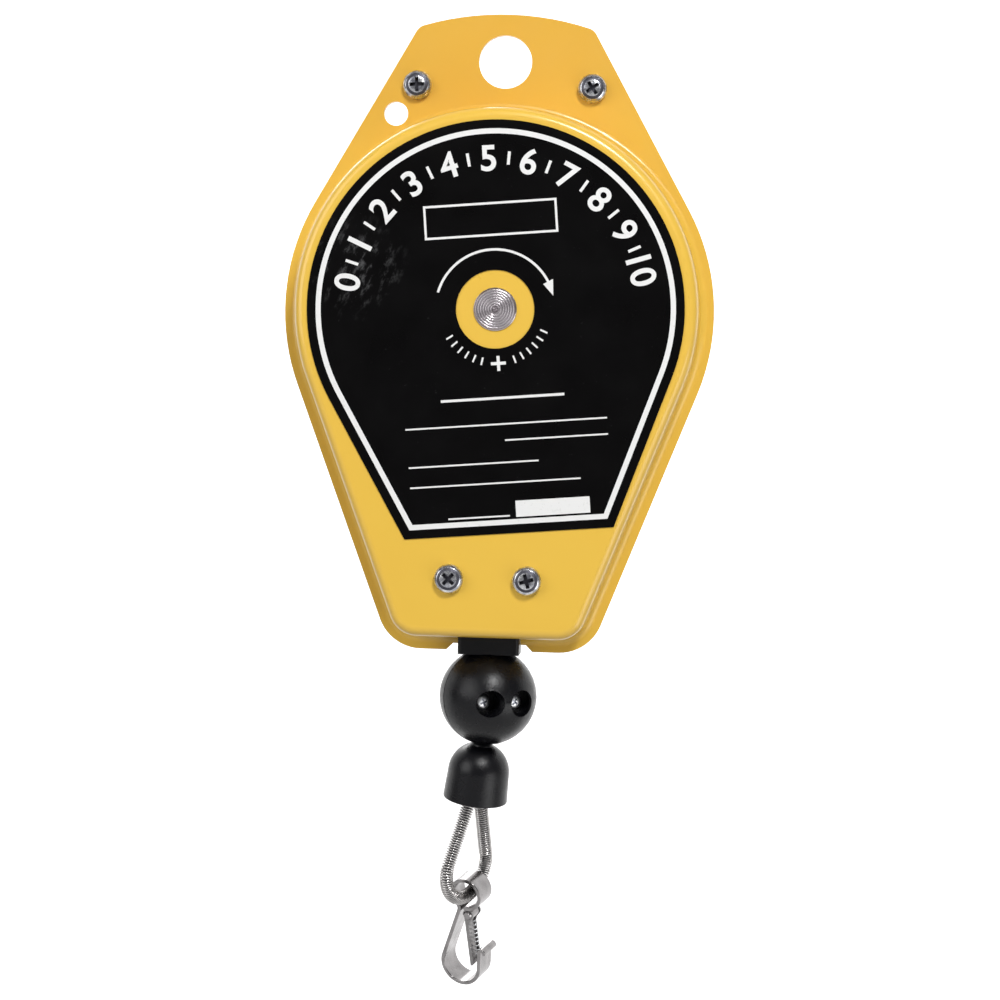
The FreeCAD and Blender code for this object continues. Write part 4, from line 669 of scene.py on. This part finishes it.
def arcPoints(radius, start, end, step=2.0):
    count = max(2, round(abs(end - start) / step))
    angles = [math.radians(start + (end - start) * i / count) for i in range(count + 1)]
    return [(radius * math.cos(a), radius * math.sin(a)) for a in angles]


def bar(across, up, width, height):
    x, y = width / 2, height / 2
    return [(across - x, up - y), (across + x, up - y), (across + x, up + y), (across - x, up + y)]


def labelOutline(inset):
    radius, drop, slope = label["radius"] - inset, label["drop"] - inset, label["angle"]
    low = (radius - drop * math.sin(math.radians(slope))) / math.cos(math.radians(slope))
    return [(low, -drop)] + arcPoints(radius, -slope, 180 + slope) + [(-low, -drop)]


inset, width = label["borderInset"], label["borderWidth"]
layPrint(printed("label_border", [labelOutline(inset), labelOutline(inset + width)]))

arrow = {"radius": 18.3, "line": 0.75, "start": 160, "end": 24, "headLength": 4.6, "headWidth": 3.4}


def arrowLoop():
    radius, half = arrow["radius"], arrow["line"] / 2
    outer = arcPoints(radius + half, arrow["start"], arrow["end"])
    inner = arcPoints(radius - half, arrow["end"], arrow["start"])
    end = math.radians(arrow["end"])
    outwards = Vector((math.cos(end), math.sin(end)))
    onwards = Vector((math.sin(end), -math.cos(end)))
    foot = outwards * radius
    head = [foot + outwards * arrow["headWidth"] / 2,
            foot + onwards * arrow["headLength"] - outwards * 0.6,
            foot - outwards * arrow["headWidth"] / 2]
    return outer + [tuple(point) for point in head] + inner


layPrint(printed("label_arrow", [arrowLoop()]))

scale = {
    "start": 166, "end": 12, "last": 10,       # plain numbers from 0 to last
    "numberRadius": 45.8, "numberSize": 11.0, "bold": 0.2,
    "tickIn": 44.3, "tickOut": 48.4, "tickWidth": 0.9,
    "fineStart": 208, "fineEnd": 332, "fineTicks": 15, "fineOpen": 12,
    "fineIn": 15.2, "fineOut": 17.6, "fineWidth": 0.55,
}


def tick(angle, inner, outer, width):
    a = math.radians(angle)
    out, side = Vector((math.cos(a), math.sin(a))), Vector((-math.sin(a), math.cos(a))) * width / 2
    corners = (out * inner - side, out * outer - side, out * outer + side, out * inner + side)
    return [tuple(corner) for corner in corners]


def writeNumber(text, size, angle, radius):
    deselectAll()
    bpy.ops.object.text_add()
    piece = bpy.context.object
    words = piece.data
    words.body, words.size, words.align_x, words.align_y = text, size * mm, "CENTER", "CENTER"
    words.offset, words.extrude = scale["bold"] * mm, label["thickness"] / 2 * mm
    bpy.ops.object.convert(target="MESH")
    piece = bpy.context.object
    piece.data.transform(turn(angle - 90, "Z") @ move(0, radius, 0))
    return piece


numbers, ticks = [], []
stepAngle = (scale["end"] - scale["start"]) / scale["last"]
for number in range(scale["last"] + 1):
    angle = scale["start"] + number * stepAngle
    numbers.append(writeNumber(str(number), scale["numberSize"], angle, scale["numberRadius"]))
    if number < scale["last"]:
        ticks.append(tick(angle + stepAngle / 2, scale["tickIn"], scale["tickOut"], scale["tickWidth"]))
for step in range(scale["fineTicks"]):       # a finer scale under the shaft, open for the plus sign
    angle = scale["fineStart"] + (scale["fineEnd"] - scale["fineStart"]) * step / (scale["fineTicks"] - 1)
    if abs(angle - 270) > scale["fineOpen"]:
        ticks.append(tick(angle, scale["fineIn"], scale["fineOut"], scale["fineWidth"]))
numbers = joinAll(numbers)
numbers.name = "label_numbers"
layPrint(numbers)
layPrint(printed("label_ticks", ticks))

fields = {
    "nameField": (0.3, 27.6, 41, 10.4, 0.7),          # across, up, width, height, line
    "rules": [(0.6, -27.2, 38, 0.8), (1.2, -35.2, 62, 0.5), (16.4, -40.2, 31.6, 0.5),
              (-9.5, -47.0, 40, 0.5), (-3.2, -53.2, 52.5, 0.5), (-8.8, -63.4, 19, 0.5)],
    "serialBox": (14.0, -61.4, 22.8, 5.0),
    "plus": (0, -16.6, 4.6, 0.95),
}
across, up, width, height, line = fields["nameField"]
frameLoops = [bar(across, up, width, height), bar(across, up, width - 2 * line, height - 2 * line)]
ruleLoops = [bar(*rule) for rule in fields["rules"]]
layPrint(printed("label_fields", frameLoops + ruleLoops + [bar(*fields["serialBox"])]))
across, up, reach, line = fields["plus"]
a, b = reach / 2, line / 2
plusLoop = [
    (b, a), (-b, a), (-b, b), (-a, b), (-a, -b), (-b, -b),
    (-b, -a), (b, -a), (b, -b), (a, -b), (a, b), (b, b),
]
layPrint(printed("label_plus", [[(across + x, up + y) for x, y in plusLoop]]))
print("label printed")


# coils

def windCoil(name, coil):
    # a wire wound round Z, from zero up
    turns = round(coil["length"] / coil["pitch"])
    deselectAll()
    bpy.ops.mesh.primitive_circle_add(
        vertices=coil["sides"], radius=coil["wire"] / 2 * mm, location=(coil["radius"] * mm, 0, 0),
        rotation=(math.radians(90), 0, 0)
    )
    piece = bpy.context.object
    piece.name = name
    bakePlace(piece)
    rise = (coil["length"] - coil["wire"]) / turns
    applyModifier(piece, "SCREW", screw_offset=rise * mm, iterations=turns, steps=coil["steps"],
                  render_steps=coil["steps"], axis="Z", use_merge_vertices=False)
    openMesh(piece)
    bpy.ops.mesh.fill_holes(sides=0)
    closeMesh()
    piece.data.transform(move(0, 0, coil["wire"] / 2))
    return piece


def bezier(name, knots):
    # knots are (point, heading, reach back, reach on), in mm
    data = bpy.data.curves.new(name, "CURVE")
    data.dimensions = "3D"
    data.resolution_u = 24
    data.twist_mode = "MINIMUM"
    spline = data.splines.new("BEZIER")
    spline.bezier_points.add(len(knots) - 1)
    for knot, (point, heading, back, on) in zip(spline.bezier_points, knots):
        knot.handle_left_type = knot.handle_right_type = "FREE"
        knot.co = point * mm
        knot.handle_left = (point - heading * back) * mm
        knot.handle_right = (point + heading * on) * mm
    curve = bpy.data.objects.new(name, data)
    bpy.context.scene.collection.objects.link(curve)
    return curve


loop = {
    "side": 1.4, "spreadDrop": 15.0, "drop": 41.4, "radius": 10.0, "guardStart": 2.66, "arcs": 6,
}


def loopRoute(name, start):
    # down one leg, round the bottom and up the other, from a length along the spreading leg
    corner, centre = Vector((loop["side"], 0, -loop["spreadDrop"])), Vector((0, 0, -loop["drop"]))
    radius, reach = loop["radius"], (centre - corner).length
    angle = math.asin(radius / reach) - math.atan(loop["side"] / (loop["drop"] - loop["spreadDrop"]))
    spread = Vector((math.sin(angle), 0, -math.cos(angle)))
    length = math.sqrt(reach ** 2 - radius ** 2)
    first, touch = corner + spread * start, corner + spread * length
    run = (length - start) / 3
    knots = [(first, spread, run, run)]
    sweep = math.pi + 2 * angle
    step = sweep / loop["arcs"]
    handle = 4 / 3 * math.tan(step / 4) * radius
    for index in range(loop["arcs"] + 1):
        at = angle - index * step
        point = centre + Vector((math.cos(at), 0, math.sin(at))) * radius
        back = run if index == 0 else handle
        on = run if index == loop["arcs"] else handle
        knots.append((point, Vector((math.sin(at), 0, -math.cos(at))), back, on))
    last = Vector((-first.x, 0, first.z))
    knots.append((last, Vector((spread.x, 0, -spread.z)), run, run))
    return bezier(name, knots), 2 * (length - start) + sweep * radius


def bendAlong(piece, curve):
    applyModifier(piece, "CURVE", object=curve, deform_axis="POS_Z")
    discard(curve)


guardCurve, guardLength = loopRoute("guardCurve", loop["guardStart"])
guard = {"length": guardLength, "pitch": 0.8, "wire": 0.5, "radius": 2.0, "steps": 16, "sides": 6}
guardCoil = windCoil("spring_guard_coil", guard)
bendAlong(guardCoil, guardCurve)
guardCoil.data.transform(loopPlace)
finish(guardCoil, "rope_end", coilSteel, ["spring_guard"], smooth=60)

gateCoil = {
    "length": 13.6, "pitch": 1.5, "wire": 0.34, "radius": 0.76, "steps": 20, "sides": 8,
    "side": 0.4, "foot": -16.0,
}
coilPiece = windCoil("gate_spring_coil", gateCoil)
coilPiece.data.transform(gatePlace @ move(gateCoil["side"], 0, gateCoil["foot"]))
finish(coilPiece, "gate", headZinc, ["gate_spring"], smooth=60)
print("coils wound")


# the gate: a narrow channel, its cheeks wider round the rivet

gate = {
    "back": -1.4, "open": -0.3, "sheet": 0.6, "width": 5.2, "foot": -17.3, "nose": 1.9, "rivet": 0.93,
    "shoulder": -2.6, "bevel": 0.1,
}


def makeGate():
    back, side = gate["back"], gate["open"]
    noseArc = arcPoints(gate["nose"], -28, 172, 12)
    cheek = [(back, -0.6), (back, gate["foot"]), (side, gate["foot"]), (side, gate["shoulder"] - 1.4),
             (side + 0.5, gate["shoulder"])] + noseArc
    hole = arcPoints(gate["rivet"], 0, 345, 15)
    plates = []
    for place in (-1, 1):
        plate = printed("cheek", [cheek, hole], gate["sheet"])
        openMesh(plate)
        bpy.ops.mesh.remove_doubles(threshold=mergeMesh)
        closeMesh()
        plate.data.transform(move(0, place * (gate["width"] - gate["sheet"]) / 2, 0) @ faceFront)
        plates.append(plate)
    web = (
        (back + gate["sheet"] / 2, 0, gate["foot"] / 2 - 0.4),
        (gate["sheet"] - 0.02, gate["width"] - 0.02, 0.8 - gate["foot"]),
    )
    toe = (
        ((back + side) / 2, 0, gate["foot"] + 0.41),
        (side - back - 0.1, gate["width"] - 0.6, 0.8),
    )
    piece = plates[0]
    cut(piece, plates[1], "UNION")
    for (x, y, z), (wide, deep, high) in (web, toe):
        deselectAll()
        bpy.ops.mesh.primitive_cube_add(size=mm, location=(x * mm, y * mm, z * mm))
        wall = bpy.context.object
        wall.scale = (wide, deep, high)
        bakePlace(wall)
        cut(piece, wall, "UNION")
    applyModifier(piece, "BEVEL", width=gate["bevel"] * mm, segments=2, limit_method="ANGLE")
    piece.name = "gate_channel"
    piece.data.transform(gatePlace)
    finish(piece, "gate", gateSteel, ["hook_gate"])


makeGate()
print("gate made")


# the collar on the cap's top, which goes up into the ball's mouth

collar = {
    "foot": -0.7, "top": 0.75, "radius": 3.5, "topRadius": 2.6, "bore": 1.35, "flare": 0.15, "edge": 0.25,
}


def makeCollar():
    foot, top, edge = collar["foot"], collar["top"], collar["edge"]
    middle = (foot + top) / 2
    piece = turned("cap_collar", [
        (collar["radius"], foot), (collar["radius"] - collar["flare"], middle - 0.2),
        (collar["topRadius"] + edge, top - edge), (collar["topRadius"], top),
    ])
    cut(piece, turned("drill", [(collar["bore"], foot - 1), (collar["bore"], top + 1)], 32))
    piece.data.transform(underBall)
    finish(piece, "rope_end", ballPlastic)


makeCollar()
print("collar made")


# the pawl's spring, a subdivided copy of the CAD part


def makePawlSpring():
    source = frame["nodes"]["pawl_spring"]
    piece = bpy.data.objects.new("pawl_spring_bent", source.data.copy())
    bpy.context.scene.collection.objects.link(piece)
    openMesh(piece)
    bpy.ops.mesh.remove_doubles(threshold=mergeMesh)
    bpy.ops.mesh.subdivide(number_cuts=2)
    bpy.ops.object.mode_set(mode="OBJECT")
    piece.data.materials.clear()
    finish(piece, None, bluedSteel, ["pawl_spring"])
    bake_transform(piece)


makePawlSpring()
print("pawl spring made")


# the rope that is drawn out of the housing

rope = {
    "radius": 1.25, "strand": 0.41, "strands": 6, "core": 0.45, "sides": 10, "lay": 15.0, "step": 0.6,
    "top": -176.0, "bottom": -194.7,
}


def layRope(name, length):
    # strands round Z, from zero up
    circles = []
    reach = rope["radius"] - rope["strand"]
    places = [(0, 0, rope["core"])]
    for index in range(rope["strands"]):
        angle = math.tau * index / rope["strands"]
        places.append((reach * math.cos(angle), reach * math.sin(angle), rope["strand"]))
    for x, y, radius in places:
        deselectAll()
        bpy.ops.mesh.primitive_circle_add(
            vertices=rope["sides"], radius=radius * mm, fill_type="NGON", location=(x * mm, y * mm, 0)
        )
        bakePlace(bpy.context.object)
        circles.append(bpy.context.object)
    piece = joinAll(circles)
    piece.name = name
    openMesh(piece)
    steps = round(length / rope["step"])
    rise = length / steps
    for index in range(steps):
        bpy.ops.mesh.extrude_region_move(TRANSFORM_OT_translate={"value": (0, 0, rise * mm)})
        bpy.ops.transform.rotate(
            value=math.tau * rise / rope["lay"], orient_axis="Z",
            center_override=(0, 0, (index + 1) * rise * mm)
        )
    closeMesh()
    return piece


runRope = layRope("rope_run_strands", rope["top"] - rope["bottom"])
runRope.data.transform(move(0, 0, rope["bottom"]))
finish(runRope, None, ropeSteelPaintedShade, ["rope_run"], smooth=60)
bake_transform(runRope)
print("rope laid")


# stage and light

stage = {"size": 20, "floor": -2.1, "back": 1.6,      # the floor clears the rope when it is drawn out
         "pale": (0.86, 0.86, 0.86), "ambient": 0.22, "aim": (0, 0, -0.13)}


def makeStageWhite(name, strength):
    # adds the plain white that the camera and the reflections see
    pale = newMaterial(name, stage["pale"], 0.9)
    tree = pale.node_tree
    path = addNode(pale, "LightPath").outputs
    seen = calculate(pale, "MAXIMUM", path["Is Camera Ray"], path["Is Glossy Ray"])
    seen = calculate(pale, "MAXIMUM", seen, path["Is Transmission Ray"])
    glow = addNode(pale, "Emission", {"Strength": calculate(pale, "MULTIPLY", seen, strength)})
    both = addNode(pale, "AddShader", {0: shaderOf(pale).outputs[0], 1: glow.outputs[0]})
    tree.links.new(both.outputs[0], tree.nodes["Material Output"].inputs["Surface"])
    return pale


sheets = {
    "floor": ((0, 0, stage["floor"]), 0, makeStageWhite("floorWhite", 0.5)),
    "backdrop": (
        (0, stage["back"], stage["floor"] + stage["size"] / 2), 90, makeStageWhite("backWhite", 1.0),
    ),
}
for name, (place, angle, material) in sheets.items():
    deselectAll()
    bpy.ops.mesh.primitive_plane_add(size=stage["size"], location=place, rotation=(math.radians(angle), 0, 0))
    sheet = bpy.context.object
    sheet.name = name
    sheet.data.materials.append(material)

lamps = {
    "key": {"place": (0.33, -0.95, 0.69), "size": 0.32, "power": 10.6},
    "fill": {"place": (-0.95, -0.85, 0.25), "size": 0.9, "power": 6.4},
    "low": {"place": (0.9, -0.7, -0.55), "size": 0.7, "power": 3.2},
    "back": {"place": (-0.5, 1.1, 0.8), "size": 0.8, "power": 9},
}
for name, lamp in lamps.items():
    data = bpy.data.lights.new(name, "AREA")
    data.size = lamp["size"]
    data.energy = lamp["power"]
    holder = bpy.data.objects.new(name, data)
    holder.location = lamp["place"]
    aim = Vector(stage["aim"]) - Vector(lamp["place"])
    holder.rotation_euler = aim.to_track_quat("-Z", "Y").to_euler()
    bpy.context.scene.collection.objects.link(holder)

world = bpy.data.worlds.new("world")
world.use_nodes = True
background = world.node_tree.nodes["Background"]
background.inputs["Color"].default_value = (1, 1, 1, 1)
background.inputs["Strength"].default_value = stage["ambient"]
bpy.context.scene.world = world
bpy.context.scene.view_settings.view_transform = "Standard"
print("stage and light set")
